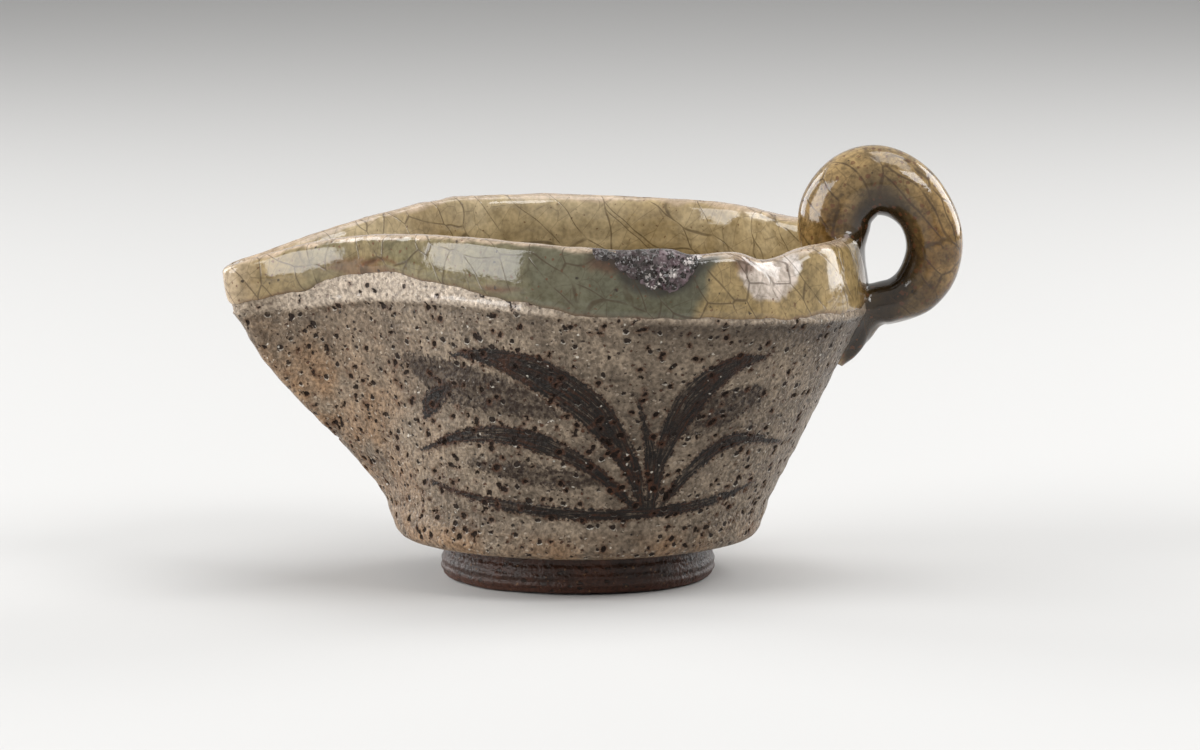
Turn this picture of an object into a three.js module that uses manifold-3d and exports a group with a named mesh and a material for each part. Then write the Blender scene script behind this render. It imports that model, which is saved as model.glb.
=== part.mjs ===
// A small lipped pouring bowl of wheel-thrown stoneware. A turned foot ring carries a flaring wall
// with a crisp shoulder. Above the shoulder stands a glazed collar whose leaf-shaped mouth is drawn
// out to a beak, and a tapering roll of clay curls from the rim down to the shoulder as the handle.
// Millimetres, +Z up. The beak points along -X, the handle along +X. Side a faces -Y, side b +Y.

import * as THREE from 'three';
import { mergeVertices } from 'three/addons/utils/BufferGeometryUtils.js';
import Module from 'manifold-3d';

const wasm = await Module();
wasm.setup();

// Thicknesses

const GAP = 0.3; // left between pieces that touch
const GLAZE = 0.6; // thickness of a glaze coat
const COAT = GLAZE + GAP; // how far the clay stands back under a coat

// How finely the mouth is divided, and how much the points crowd towards the beak and the handle

const SEGMENTS = 80;
const CROWDING = 0.4;

// The foot ring and the round base of the bowl

const FOOT = { height: 8.3, outer: 30.1, waist: 29.2, inner: 24.2, sole: [25.4, 28.6] };
const UNDERSIDE = FOOT.height + GAP;
const BASE = { radius: 40, height: 11.2, wallStart: 38.7 };
const FLOOR = { height: 14.8, flat: 27, corner: 35, cornerHeight: 19.5 };

// The mouth in plan. All its outlines share one centre, which lies towards the handle from the foot.

const MOUTH_CENTRE = 9;
const BEAK_START = -44;
const SHOULDER = { end: 62.9, halfWidth: 55.4, tip: -74.9, beak: 4.2, sweep: 43, hollow: 5.2 };
const RIM = { end: 60.5, halfWidth: 53.6, tip: -77.1, beak: 4.0, sweep: 44, hollow: 4.4 };
const INNER_SHOULDER = { end: 57.9, halfWidth: 50.4, tip: -67.5, beak: 1.6, sweep: 41, hollow: 1.8 };
const INNER_RIM = { end: 56.6, halfWidth: 49.7, tip: -72.4, beak: 1.9, sweep: 42, hollow: 2.2 };

// The rim is pressed in on both sides of the handle

const DENT = { depth: 6, x: 44.5, reach: 5 };

// Heights of the rim along X. They part on the two sides near the handle, where side a is stepped.

const RIM_BY_BEAK = [[-77.1, 68], [-68, 71], [-60, 73.5], [-46, 76.9], [-28, 79], [-10, 78.6], [10, 77.6]];
const RIM_HEIGHTS = {
  a: [...RIM_BY_BEAK, [20, 77.6], [23.5, 76.4], [34, 76.3], [39.5, 73.9], [50, 75.8], [60.5, 75.2]],
  b: [...RIM_BY_BEAK, [27, 77.1], [41, 76.3], [46, 75.3], [60.5, 75.2]],
};
const SHOULDER_HEIGHTS = [[-75, 57.6], [-60, 59.8], [-46, 63.1], [-26, 64.8], [9, 63], [41, 61], [63, 58.8]];

// How far the lower edge of the outer glaze stays above the shoulder

const GLAZE_EDGE = {
  a: [[-77, 2], [-60, 3], [-38, 5.5], [-20, 3.6], [0, 1.6], [30, 1.4], [61, 1.4]],
  b: [[-77, 2], [-60, 4], [-30, 6.5], [0, 5.6], [20, 4], [61, 1.4]],
};

// The handle: points of its centre line in the XZ plane, each with the half thickness in that plane
// and the half width across it. The roll starts on the rim, loops out and down to the shoulder, and
// its end is pressed flat down the wall as a tail.

const HANDLE = [
  { x: 56.0, z: 69.2, thick: 5.2, wide: 5.6 },
  { x: 55.1, z: 73.5, thick: 7.3, wide: 7.6 },
  { x: 55.4, z: 80.6, thick: 7.5, wide: 7.7 },
  { x: 63.6, z: 87.9, thick: 7.4, wide: 7.5 },
  { x: 73.4, z: 84.4, thick: 6.7, wide: 7.0 },
  { x: 77.9, z: 74.6, thick: 5.9, wide: 6.6 },
  { x: 75.2, z: 65.2, thick: 5.4, wide: 6.4 },
  { x: 68.9, z: 60.4, thick: 4.3, wide: 6.2 },
  { x: 64.2, z: 56.6, thick: 3.3, wide: 5.9 },
  { x: 61.2, z: 52.4, thick: 2.8, wide: 4.9 },
  { x: 58.8, z: 48.2, thick: 2.1, wide: 3.2 },
];
const HANDLE_RINGS = 44;
const HANDLE_SIDES = 14;

// The crust of kiln grit fused to the collar on side a, under the rim

const CRUST = { x: 15.5, halfLength: 10.5, up: 0.7, halfHeight: 0.27, thickness: 1.1 };

// A smooth line through [x, value] points, as a function of x

function smoothLine(points) {
  const slope = (i) => {
    const before = points[Math.max(i - 1, 0)];
    const after = points[Math.min(i + 1, points.length - 1)];
    return (after[1] - before[1]) / (after[0] - before[0]);
  };
  return (x) => {
    const clamped = THREE.MathUtils.clamp(x, points[0][0], points.at(-1)[0]);
    const next = Math.max(points.findIndex((point) => point[0] >= clamped), 1);
    const [x0, y0] = points[next - 1];
    const [x1, y1] = points[next];
    const span = x1 - x0;
    const t = (clamped - x0) / span;
    const rise = (t * t * t - 2 * t * t + t) * slope(next - 1) + (t * t * t - t * t) * slope(next);
    const blend = t * t * (3 - 2 * t);
    return y0 + (y1 - y0) * blend + span * rise;
  };
}

const rimHeight = { a: smoothLine(RIM_HEIGHTS.a), b: smoothLine(RIM_HEIGHTS.b) };
const glazeEdge = { a: smoothLine(GLAZE_EDGE.a), b: smoothLine(GLAZE_EDGE.b) };
const shoulderHeight = smoothLine(SHOULDER_HEIGHTS);
const sideOf = (y) => (y < 0 ? 'a' : 'b');

// Half of a mouth outline, from the handle end to the tip of the beak: a quarter ellipse, a long
// curve that turns hollow along the beak, and a small round nose

function halfOutline({ end, halfWidth, tip, beak, sweep, hollow }) {
  const neck = new THREE.Vector2(tip + beak * 0.75, beak);
  const path = new THREE.CurvePath();
  path.add(new THREE.EllipseCurve(MOUTH_CENTRE, 0, end - MOUTH_CENTRE, halfWidth, 0, Math.PI / 2));
  path.add(new THREE.CubicBezierCurve(
    new THREE.Vector2(MOUTH_CENTRE, halfWidth),
    new THREE.Vector2(MOUTH_CENTRE - sweep, halfWidth),
    new THREE.Vector2(BEAK_START, hollow),
    neck,
  ));
  path.add(new THREE.QuadraticBezierCurve(neck, new THREE.Vector2(tip, beak * 0.8), new THREE.Vector2(tip, 0)));
  return path;
}

// Where point i of the ring lies round the mouth, from 0 at the handle to 0.5 at the beak and on to 1

function fraction(i) {
  const u = i / SEGMENTS;
  return u - (CROWDING / (4 * Math.PI)) * Math.sin(4 * Math.PI * u);
}

const ringOf = (place) => Array.from({ length: SEGMENTS }, (_, i) => place(fraction(i), i));

// A closed ring of points on a mouth outline, moved outwards by grow. dent presses the rim in beside
// the handle.

function mouthRing(shape, grow, height, dent = 0) {
  const half = halfOutline(shape);
  const outline = ringOf((s) => {
    const side = s <= 0.5 ? 1 : -1;
    const { x, y } = half.getPoint(Math.min(2 * s, 2 - 2 * s));
    const pressed = Math.max(y - dent * Math.exp(-(((x - DENT.x) / DENT.reach) ** 2)), Math.min(y, 1));
    return new THREE.Vector3(x, side * pressed, 0);
  });
  return outline.map((point, i) => {
    const before = outline[(i + SEGMENTS - 1) % SEGMENTS];
    const after = outline[(i + 1) % SEGMENTS];
    const outwards = new THREE.Vector3(after.y - before.y, before.x - after.x, 0).normalize();
    const place = point.clone().addScaledVector(outwards, grow);
    place.z = height(point);
    return place;
  });
}

const circle = (radius, height) => ringOf((s) => {
  const angle = 2 * Math.PI * s;
  return new THREE.Vector3(radius * Math.cos(angle), radius * Math.sin(angle), height);
});

const onShoulder = (point) => shoulderHeight(point.x);
const onRim = (drop) => (point) => rimHeight[sideOf(point.y)](point.x) - drop;

// The four rails that the wall runs between. grow moves a rail outwards, drop lowers it.

const outerShoulder = (grow, drop = 0) => mouthRing(SHOULDER, grow, (point) => onShoulder(point) - drop);
const outerRim = (grow, drop) => mouthRing(RIM, grow, onRim(drop), DENT.depth);
const innerShoulder = (grow) => mouthRing(INNER_SHOULDER, grow, onShoulder);
const innerRim = (grow, drop) => mouthRing(INNER_RIM, grow, onRim(drop), DENT.depth);

const between = (low, high, t) => low.map((point, i) => point.clone().lerp(high[i], t));

// Below the beak the wall starts steeply and then sweeps outwards

const BEAK_SWEEP = 0.05;

function wallRow(low, high, t) {
  return low.map((point, i) => {
    const beak = THREE.MathUtils.smoothstep(-high[i].x, 25, 65);
    const out = t - BEAK_SWEEP * beak * Math.sin(2 * Math.PI * t);
    const place = point.clone().lerp(high[i], out);
    place.z = THREE.MathUtils.lerp(point.z, high[i].z, t);
    return place;
  });
}

// A row of the collar at a height above the shoulder that follows the lower edge of the glaze

function edgeRow(grow, lift) {
  const low = outerShoulder(grow);
  const high = outerRim(grow, 0);
  return low.map((point, i) => {
    const rise = glazeEdge[sideOf(point.y)](point.x) + lift;
    return point.clone().lerp(high[i], rise / (high[i].z - point.z));
  });
}

// The inside of the bowl from the middle of the floor to the lip. grow moves it into the clay.

function insideRows(grow) {
  const floor = FLOOR.height - grow;
  const corner = circle(FLOOR.corner + grow * 0.8, FLOOR.cornerHeight - grow * 0.5);
  const shoulder = innerShoulder(grow);
  return [
    circle(14, floor),
    circle(FLOOR.flat, floor + 0.5),
    circle(32.2 + grow * 0.5, floor + 2.1),
    corner,
    wallRow(corner, shoulder, 0.3),
    wallRow(corner, shoulder, 0.65),
    shoulder,
    between(shoulder, innerRim(grow, 0), 0.5),
    innerRim(grow, 2),
  ];
}

// All rows of the bowl, up the outside, over the lip and down the inside. The wall below the glaze
// edge moves out by wall, the collar by collar and the inside by lining, and the lip rises by lip.

function bowlRows({ wall, collar, lining, lip }) {
  const start = circle(BASE.wallStart + wall, BASE.height);
  const shoulder = outerShoulder(wall);
  const underside = UNDERSIDE - wall;
  return [
    circle(18, underside),
    circle(33.5 + wall, underside),
    circle(BASE.radius - 1.4 + wall, underside + 0.8),
    circle(BASE.radius + wall, BASE.height),
    ...[0.16, 0.34, 0.52, 0.7, 0.86].map((t) => wallRow(start, shoulder, t)),
    outerShoulder(wall - 0.5, 1.6),
    shoulder,
    edgeRow(wall, -GAP),
    edgeRow(collar, 0.15 - GAP),
    between(outerShoulder(collar), outerRim(collar, 0), 0.7),
    outerRim(collar, 1.7),
    outerRim(collar - 0.7, 0.4 - lip),
    between(outerRim(collar - 0.7, -lip), innerRim(lining + 0.7, -lip), 0.5),
    innerRim(lining + 0.7, 0.4 - lip),
    ...insideRows(lining).reverse(),
  ];
}

// A closed mesh from rings of points. With caps the first and last rings close on a middle point,
// and without them the last ring joins the first. Each four-cornered cell is split on its shorter
// diagonal, so that neighbouring sheets fold alike.

function loft(rings, caps) {
  const count = rings[0].length;
  const points = rings.flat();
  const faces = [];
  const bands = caps ? rings.length - 1 : rings.length;
  for (let row = 0; row < bands; row += 1) {
    const above = (row + 1) % rings.length;
    for (let i = 0; i < count; i += 1) {
      const j = (i + 1) % count;
      const [a, b] = [row * count + i, row * count + j];
      const [c, d] = [above * count + i, above * count + j];
      const cut = points[b].distanceTo(points[c]) < points[a].distanceTo(points[d]);
      faces.push(...(cut ? [a, b, c, b, d, c] : [a, b, d, a, d, c]));
    }
  }
  if (caps) {
    const first = points.push(caps[0]) - 1;
    const last = points.push(caps[1]) - 1;
    const top = (rings.length - 1) * count;
    for (let i = 0; i < count; i += 1) {
      const j = (i + 1) % count;
      faces.push(j, i, first, top + i, top + j, last);
    }
  }
  const geometry = new THREE.BufferGeometry().setFromPoints(points);
  geometry.setIndex(faces);
  return geometry;
}

const onAxis = (z) => new THREE.Vector3(0, 0, z);

function bowlSolid(offsets) {
  const middle = UNDERSIDE - offsets.wall;
  return loft(bowlRows(offsets), [onAxis(middle), onAxis(FLOOR.height - offsets.lining)]);
}

// A sweep of ellipses along the handle's centre line, with rounded ends

function handleSweep() {
  const line = new THREE.CatmullRomCurve3(HANDLE.map(({ x, z }) => new THREE.Vector3(x, 0, z)));
  const sizes = new THREE.CatmullRomCurve3(HANDLE.map(({ thick, wide }) => new THREE.Vector3(thick, wide, 0)));
  const across = new THREE.Vector3(0, 1, 0);
  const ring = (t) => {
    const centre = line.getPoint(t);
    const outwards = new THREE.Vector3().crossVectors(across, line.getTangent(t));
    const { x: thick, y: wide } = sizes.getPoint(t);
    return Array.from({ length: HANDLE_SIDES }, (_, i) => {
      const angle = (2 * Math.PI * i) / HANDLE_SIDES;
      return centre.clone()
        .addScaledVector(outwards, thick * Math.cos(angle))
        .addScaledVector(across, wide * Math.sin(angle));
    });
  };
  const rings = Array.from({ length: HANDLE_RINGS }, (_, i) => ring(i / (HANDLE_RINGS - 1)));
  const beyond = (t, reach) => line.getPoint(t).addScaledVector(line.getTangent(t), reach);
  return loft(rings, [beyond(0, -2.2), beyond(1, 1.2)]);
}

// A lens of grit that lies on the collar of side a

function crustLens() {
  const pointAt = (ring, x) => {
    const next = ring.findIndex((point, i) => point.y < 0 && i > SEGMENTS / 2 && point.x > x);
    const [before, after] = [ring[next - 1], ring[next]];
    return before.clone().lerp(after, (x - before.x) / (after.x - before.x));
  };
  const surface = (x, up, grow) => pointAt(outerShoulder(grow), x).lerp(pointAt(outerRim(grow, 0), x), up);
  const lens = new THREE.SphereGeometry(1, 16, 10);
  const spots = lens.getAttribute('position');
  for (let i = 0; i < spots.count; i += 1) {
    const [x, y, z] = [spots.getX(i), spots.getY(i), spots.getZ(i)];
    const lump = 1 + 0.16 * Math.sin(5 * x + 2) * Math.cos(4 * z);
    const stand = GAP + (CRUST.thickness * lump * (1 - y)) / 2;
    const place = surface(CRUST.x + CRUST.halfLength * x, CRUST.up + CRUST.halfHeight * lump * z, stand);
    spots.setXYZ(i, place.x, place.y, place.z);
  }
  return lens;
}

// Booleans

function toManifold(geometry) {
  const bare = geometry.clone();
  bare.deleteAttribute('normal');
  bare.deleteAttribute('uv');
  const merged = mergeVertices(bare, 1e-4);
  return new wasm.Manifold(new wasm.Mesh({
    numProp: 3,
    vertProperties: new Float32Array(merged.getAttribute('position').array),
    triVerts: new Uint32Array(merged.index.array),
  }));
}

function toGeometry(manifold) {
  const { vertProperties, triVerts } = manifold.getMesh();
  const geometry = new THREE.BufferGeometry();
  geometry.setAttribute('position', new THREE.BufferAttribute(vertProperties, 3));
  geometry.setIndex(new THREE.BufferAttribute(triVerts, 1));
  return geometry;
}

// The pieces

function footRing() {
  const profile = [
    [FOOT.sole[0], 0],
    [FOOT.sole[1], 0],
    [FOOT.outer - 0.5, 0.7],
    [FOOT.outer, 2.2],
    [FOOT.outer - 0.2, 4.6],
    [FOOT.waist, 7],
    [FOOT.waist, FOOT.height],
    [FOOT.inner, FOOT.height],
    [FOOT.inner, 2.4],
    [FOOT.inner + 0.4, 0.8],
    [FOOT.sole[0], 0],
  ].map(([radius, height]) => new THREE.Vector2(radius, height));
  return new THREE.LatheGeometry(profile, 64).rotateX(Math.PI / 2);
}

const bowlClay = () => bowlSolid({ wall: 0, collar: -COAT, lining: COAT, lip: 0 });

function collarGlaze() {
  const collar = (grow, up) => between(outerShoulder(grow), outerRim(grow, 0), up);
  return loft([
    edgeRow(-0.25, 0),
    edgeRow(0, 0.5),
    collar(0, 0.7),
    outerRim(0, 2),
    outerRim(-0.25, 1.2),
    outerRim(-GLAZE, 1.3),
    collar(-GLAZE, 0.7),
    edgeRow(-GLAZE, 0),
  ], null);
}

function liningGlaze() {
  const front = insideRows(0);
  const back = insideRows(GLAZE);
  const lip = [innerRim(0.25, 1.2), innerRim(GLAZE, 1.4)];
  const rings = [...back, ...lip.reverse(), ...front.reverse()];
  return loft(rings, [onAxis(FLOOR.height - GLAZE), onAxis(FLOOR.height)]);
}

// The roll of clay is luted over the lip and down the wall, so the bowl is cut out of it

function loopHandle() {
  const bowl = bowlSolid({ wall: GAP, collar: GAP, lining: -GAP, lip: GAP });
  return toGeometry(toManifold(handleSweep()).subtract(toManifold(bowl)));
}

// The finished bowl, with its origin on the table under the middle of its box

const PIECES = [
  { name: 'bowl_body', build: bowlClay, colour: 0x8b8170, roughness: 0.6 },
  { name: 'foot_ring', build: footRing, colour: 0x5b3a2a, roughness: 0.5 },
  { name: 'loop_handle', build: loopHandle, colour: 0x8c8150, roughness: 0.15 },
  { name: 'collar_glaze', build: collarGlaze, colour: 0x8a8257, roughness: 0.12 },
  { name: 'lining_glaze', build: liningGlaze, colour: 0x77744f, roughness: 0.12 },
  { name: 'kiln_crust', build: crustLens, colour: 0x4a3f44, roughness: 0.8 },
];

const pouringBowl = new THREE.Group();
for (const { name, build, colour, roughness } of PIECES) {
  const material = new THREE.MeshStandardMaterial({ color: colour, roughness, metalness: 0 });
  const mesh = new THREE.Mesh(build(), material);
  mesh.name = name;
  pouringBowl.add(mesh);
}

const middle = new THREE.Box3().setFromObject(pouringBowl).getCenter(new THREE.Vector3());
pouringBowl.position.set(-middle.x, -middle.y, 0);
pouringBowl.updateMatrixWorld(true);

export default pouringBowl;
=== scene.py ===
"""The fine surfaces, glazes and studio of a small lipped pouring bowl of wheel-thrown stoneware.

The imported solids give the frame. Each piece here repeats the form of one solid with a much finer
mesh: thrown clay with pits, glaze coats with a rounded wavy edge, a coiled handle that is blended
into the rim, a turned foot and a crust of kiln grit. Shapes are worked out in millimetres, with the
beak along -X, the handle along +X, side a facing -Y and side b facing +Y.
"""

import itertools

import bpy
import numpy as np
from bpy.props import FloatProperty, FloatVectorProperty, IntProperty, PointerProperty
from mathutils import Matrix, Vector
from mathutils.bvhtree import BVHTree


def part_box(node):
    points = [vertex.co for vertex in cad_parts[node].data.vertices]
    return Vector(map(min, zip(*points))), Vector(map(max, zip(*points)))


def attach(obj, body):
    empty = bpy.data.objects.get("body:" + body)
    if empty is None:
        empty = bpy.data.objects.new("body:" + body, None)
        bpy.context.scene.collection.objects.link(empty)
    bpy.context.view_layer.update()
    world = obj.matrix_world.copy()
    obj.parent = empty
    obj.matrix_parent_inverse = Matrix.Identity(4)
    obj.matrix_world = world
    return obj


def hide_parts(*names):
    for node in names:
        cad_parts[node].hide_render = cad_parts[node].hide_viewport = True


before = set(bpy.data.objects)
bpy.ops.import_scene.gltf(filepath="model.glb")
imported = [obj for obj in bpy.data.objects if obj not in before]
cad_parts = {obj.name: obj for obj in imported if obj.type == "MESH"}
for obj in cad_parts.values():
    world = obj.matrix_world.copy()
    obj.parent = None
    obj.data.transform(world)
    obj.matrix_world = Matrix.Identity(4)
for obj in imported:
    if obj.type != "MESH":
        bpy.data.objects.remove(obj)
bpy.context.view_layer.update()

bl_info = {
    "name": "Lipped Pouring Bowl",
    "version": (1, 0, 0),
    "blender": (4, 5, 0),
    "location": "3D View > Sidebar > Pouring Bowl",
    "description": "Makes the pieces, glazes and studio of a lipped pouring bowl",
    "category": "Object",
}

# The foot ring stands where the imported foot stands, and every shape is measured from its middle

foot_low, foot_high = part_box("foot_ring")
FOOT_MIDDLE = np.array([(foot_low.x + foot_high.x) / 2, (foot_low.y + foot_high.y) / 2, 0.0])
MILLIMETRE = 0.001

# The foot ring, the base and the floor of the bowl

FOOT_PROFILE = [
    (23.8, 8.9), (24.2, 2.4), (24.6, 0.8), (25.4, 0.05), (28.4, 0.0), (29.5, 0.6), (30.1, 2.0),
    (30.0, 4.4), (29.3, 6.6), (29.0, 8.9),
]
FOOT_ROWS = 62
FOOT_COLUMNS = 420
UNDERSIDE = 8.6
BASE_RADIUS = 40.0
BASE_HEIGHT = 11.2
WALL_START = 38.7
FLOOR_HEIGHT = 14.8

# The mouth in plan. All its outlines share one centre, which lies towards the handle from the foot.

MOUTH_CENTRE = 9.0
BEAK_START = -44.0
SHOULDER = {"end": 62.9, "half_width": 55.4, "tip": -74.9, "beak": 4.2, "sweep": 43, "hollow": 5.2}
RIM = {"end": 60.5, "half_width": 53.6, "tip": -77.1, "beak": 4.0, "sweep": 44, "hollow": 4.4}
INNER_SHOULDER = {
    "end": 57.9, "half_width": 50.4, "tip": -67.5, "beak": 1.6, "sweep": 41, "hollow": 1.8
}
INNER_RIM = {"end": 56.6, "half_width": 49.7, "tip": -72.4, "beak": 1.9, "sweep": 42, "hollow": 2.2}
WALL_THICKNESS = 4.5
INNER_SWELL = 15.0
DENT = {"depth": 4.6, "x": 44.0, "reach": 5.2}
LIP_ROUND = 1.7
BEAK_SWEEP = 0.05

# Heights of the rim, of the shoulder and of the glaze edge above the shoulder, along X

RIM_BY_BEAK = [(-77.1, 68), (-68, 71), (-60, 73.5), (-46, 76.9), (-28, 79), (-10, 78.6), (10, 77.6)]
RIM_A = RIM_BY_BEAK + [(20, 77.6), (23.5, 76.4), (34, 76.3), (39.5, 73.9), (50, 75.8), (60.5, 75.2)]
RIM_B = RIM_BY_BEAK + [(27, 77.1), (41, 76.3), (46, 75.3), (60.5, 75.2)]
SHOULDER_HEIGHTS = [(-75, 57.6), (-60, 59.8), (-46, 63.1), (-26, 64.8), (9, 63), (41, 61), (63, 58.8)]
EDGE_A = [(-77, 2), (-60, 3.4), (-44, 6), (-30, 4.4), (-14, 1.5), (0, 0.9), (30, 0.9), (61, 1.2)]
EDGE_B = [
    (-77, 2.4), (-66, 3.4), (-50, 6.4), (-30, 7.4), (-8, 7.6), (10, 7), (15, 5.5), (18, 1.8), (61, 1.4)
]

# The coiled handle: x, z, half thickness in its plane and half width across it

HANDLE = [
    (60.8, 61.6, 2.8, 4.4), (59.3, 66.0, 3.8, 5.6), (56.6, 70.8, 6.6, 7.0), (55.6, 75.4, 7.8, 7.7),
    (56.5, 80.9, 8.0, 7.8), (60.2, 85.3, 8.0, 7.7), (65.2, 86.8, 7.7, 7.5), (70.8, 85.0, 7.0, 7.2),
    (75.2, 80.8, 6.4, 6.9), (77.4, 75.6, 6.2, 6.7), (77.5, 70.4, 6.0, 6.6), (76.0, 65.9, 5.9, 6.5),
    (73.1, 62.4, 5.4, 6.4), (69.3, 60.4, 4.8, 6.2), (65.4, 59.5, 4.6, 5.8), (62.5, 57.0, 3.7, 4.9),
    (60.5, 52.4, 2.7, 4.0), (59.2, 49.4, 2.0, 3.2), (57.2, 47.0, 1.0, 2.2),
]
HANDLE_ROWS = 260
HANDLE_COLUMNS = 64
HANDLE_HOLE = {"x": 66.2, "z": 72.4, "half_width": 4.6, "half_height": 8.0}

# Upright creases that fingers left beside the beak: x at the top, which side, depth, half width.
# They lean towards the handle as they go down.

CREASES = [
    (-30, 1, 0.6, 2.4), (-38, 1, 1.0, 2.2), (-45, 1, 1.2, 1.8), (-52, 1, 0.9, 1.6),
    (-44, -1, 0.5, 2.6), (-56, -1, 0.4, 2.0),
]
CREASE_TOP = 60
CREASE_LEAN = 0.12

# The share of the pits that side a goes without, and of those that are dragged on side b

PITS_LEFT_OUT = 0.2
PITS_DRAGGED = 0.75

# Distances from one tool mark to the next

TURNING_PITCH = 4.6
BASE_PITCH = 2.6
THROWING_PITCH = 5.5
FOOT_PITCH = 1.9

# Blades of grass in iron brushwork on side a: points of x, z and half width

STROKES = [
    [(14, 20, 0.6), (11, 31, 2.0), (3, 43, 3.6), (-9, 51, 3.4), (-20, 54, 1.6), (-27, 53.5, 0.2)],
    [(16, 20, 0.6), (18, 33, 1.7), (25, 46, 3.0), (34, 52.5, 1.8), (41, 53.5, 0.2)],
    [(13, 20, 0.6), (3, 30, 1.4), (-12, 36.5, 2.1), (-25, 35.5, 1.3), (-34, 31, 0.2)],
    [(17, 20, 0.5), (25, 30, 1.3), (34, 35, 1.4), (44, 32.5, 0.2)],
    [(15, 20, 0.5), (15.5, 33, 1.2), (13, 45, 0.2)],
    [(-32, 24.5, 0.2), (-15, 21, 1.1), (10, 19.5, 1.3), (30, 21.5, 0.9), (38, 24, 0.2)],
    [(-27, 47, 0.4), (-31, 42.5, 2.0), (-32.5, 38.5, 0.3)],
]
WASHES = [
    [(-36, 51, 1.5), (-26, 47.5, 4.6), (-13, 44.5, 3.4), (-4, 42, 1.0)],
    [(20, 38, 1.6), (29, 42, 4.2), (38, 45, 2.0)],
    [(-22, 30, 1.0), (-8, 28, 2.4), (6, 27, 1.0)],
]

# The crust of kiln grit on side a: how far it hangs below the lip, along X

CRUST_HANG = [
    (1, 0.3), (4, 1.8), (8, 3.6), (11, 6.4), (14, 8.4), (18, 9.0), (21, 8.4), (23.5, 6.2), (26, 2.8),
    (29, 0.8),
]
CRUST_THICKNESS = 1.1
CRUST_REACH = 11
CRUST_ROWS = 66

# The studio, in metres

FLOOR_REACH = 6.0
LAMP_AIM = (0.0, 0.0, 0.06)
CAMERA_X = 0.0015


# Shapes

def smooth_line(points):
    """A smooth line through (x, value) points, as a function of x."""
    places, values = np.array([point[:2] for point in points], float).T
    order = np.arange(len(places))
    before = np.maximum(order - 1, 0)
    after = np.minimum(order + 1, len(places) - 1)
    slopes = (values[after] - values[before]) / (places[after] - places[before])

    def value(x):
        x = np.clip(x, places[0], places[-1])
        right = np.clip(np.searchsorted(places, x), 1, len(places) - 1)
        left = right - 1
        span = places[right] - places[left]
        t = (x - places[left]) / span
        blend = t * t * (3 - 2 * t)
        rise = (t**3 - 2 * t * t + t) * slopes[left] + (t**3 - t * t) * slopes[right]
        return values[left] + (values[right] - values[left]) * blend + span * rise

    return value


rim_a = smooth_line(RIM_A)
rim_b = smooth_line(RIM_B)
edge_a = smooth_line(EDGE_A)
edge_b = smooth_line(EDGE_B)
shoulder_height = smooth_line(SHOULDER_HEIGHTS)


def rim_height(x, y):
    """The height of the lip, which is slightly uneven."""
    flat = np.stack([x, y, 0 * x], -1)
    return np.where(y < 0, rim_a(x), rim_b(x)) + 0.22 * noise(flat, 6, 35) + 0.1 * noise(flat, 2, 36)


def edge_height(x, y):
    """How far the lower edge of the outer glaze stays above the shoulder."""
    return np.where(y < 0, edge_a(x), edge_b(x))


def smooth_step(low, high, value):
    """0 at low and beyond, 1 at high and beyond, and a soft slope between them."""
    t = np.clip((value - low) / (high - low), 0, 1)
    return t * t * (3 - 2 * t)


def window(value, start, full, past, end):
    """0 before start, 1 from full to past, and 0 again after end."""
    return smooth_step(start, full, value) * smooth_step(end, past, value)


def axes(points):
    """The x, y and z of points."""
    return np.moveaxis(points, -1, 0)


def hill(offset, reach):
    """1 where the offset is 0, and falling away on both sides over the reach."""
    return np.exp(-((offset / reach) ** 2))


def bezier(controls, steps):
    """Points of a Bezier curve of any degree."""
    t = np.linspace(0, 1, steps)[:, None, None]
    points = np.tile(np.array(controls, float)[None], (steps, 1, 1))
    while points.shape[1] > 1:
        points = points[:, :-1] * (1 - t) + points[:, 1:] * t
    return points[:, 0]


def half_outline(shape, share):
    """Points on half of a mouth outline, at shares of its length from the handle to the beak."""
    angle = np.linspace(0, np.pi / 2, 200)[:, None]
    reach = shape["end"] - MOUTH_CENTRE
    half_width = shape["half_width"]
    neck = (shape["tip"] + shape["beak"] * 0.75, shape["beak"])
    bow = np.hstack([MOUTH_CENTRE + reach * np.cos(angle), half_width * np.sin(angle)])
    side = bezier([
        (MOUTH_CENTRE, half_width),
        (MOUTH_CENTRE - shape["sweep"], half_width),
        (BEAK_START, shape["hollow"]),
        neck,
    ], 400)
    nose = bezier([neck, (shape["tip"], shape["beak"] * 0.8), (shape["tip"], 0)], 60)
    path = np.vstack([bow, side[1:], nose[1:]])
    length = np.append(0, np.cumsum(np.linalg.norm(np.diff(path, axis=0), axis=1)))
    along = share * length[-1]
    return np.interp(along, length, path[:, 0]), np.interp(along, length, path[:, 1])


def mouth_ring(shape, columns, grow=0.0, height=shoulder_height, dent=0.0):
    """A closed ring of points on a mouth outline, moved outwards by grow."""
    place = np.arange(columns) / columns
    x, y = half_outline(shape, np.minimum(2 * place, 2 - 2 * place))
    side = np.where(place <= 0.5, 1.0, -1.0)
    y = side * np.maximum(y - dent * hill(x - DENT["x"], DENT["reach"]), np.minimum(y, 1))
    out_x = np.roll(y, -1) - np.roll(y, 1)
    out_y = np.roll(x, 1) - np.roll(x, -1)
    long = np.hypot(out_x, out_y)
    return np.stack([x + grow * out_x / long, y + grow * out_y / long, height(x)], -1)


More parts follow.
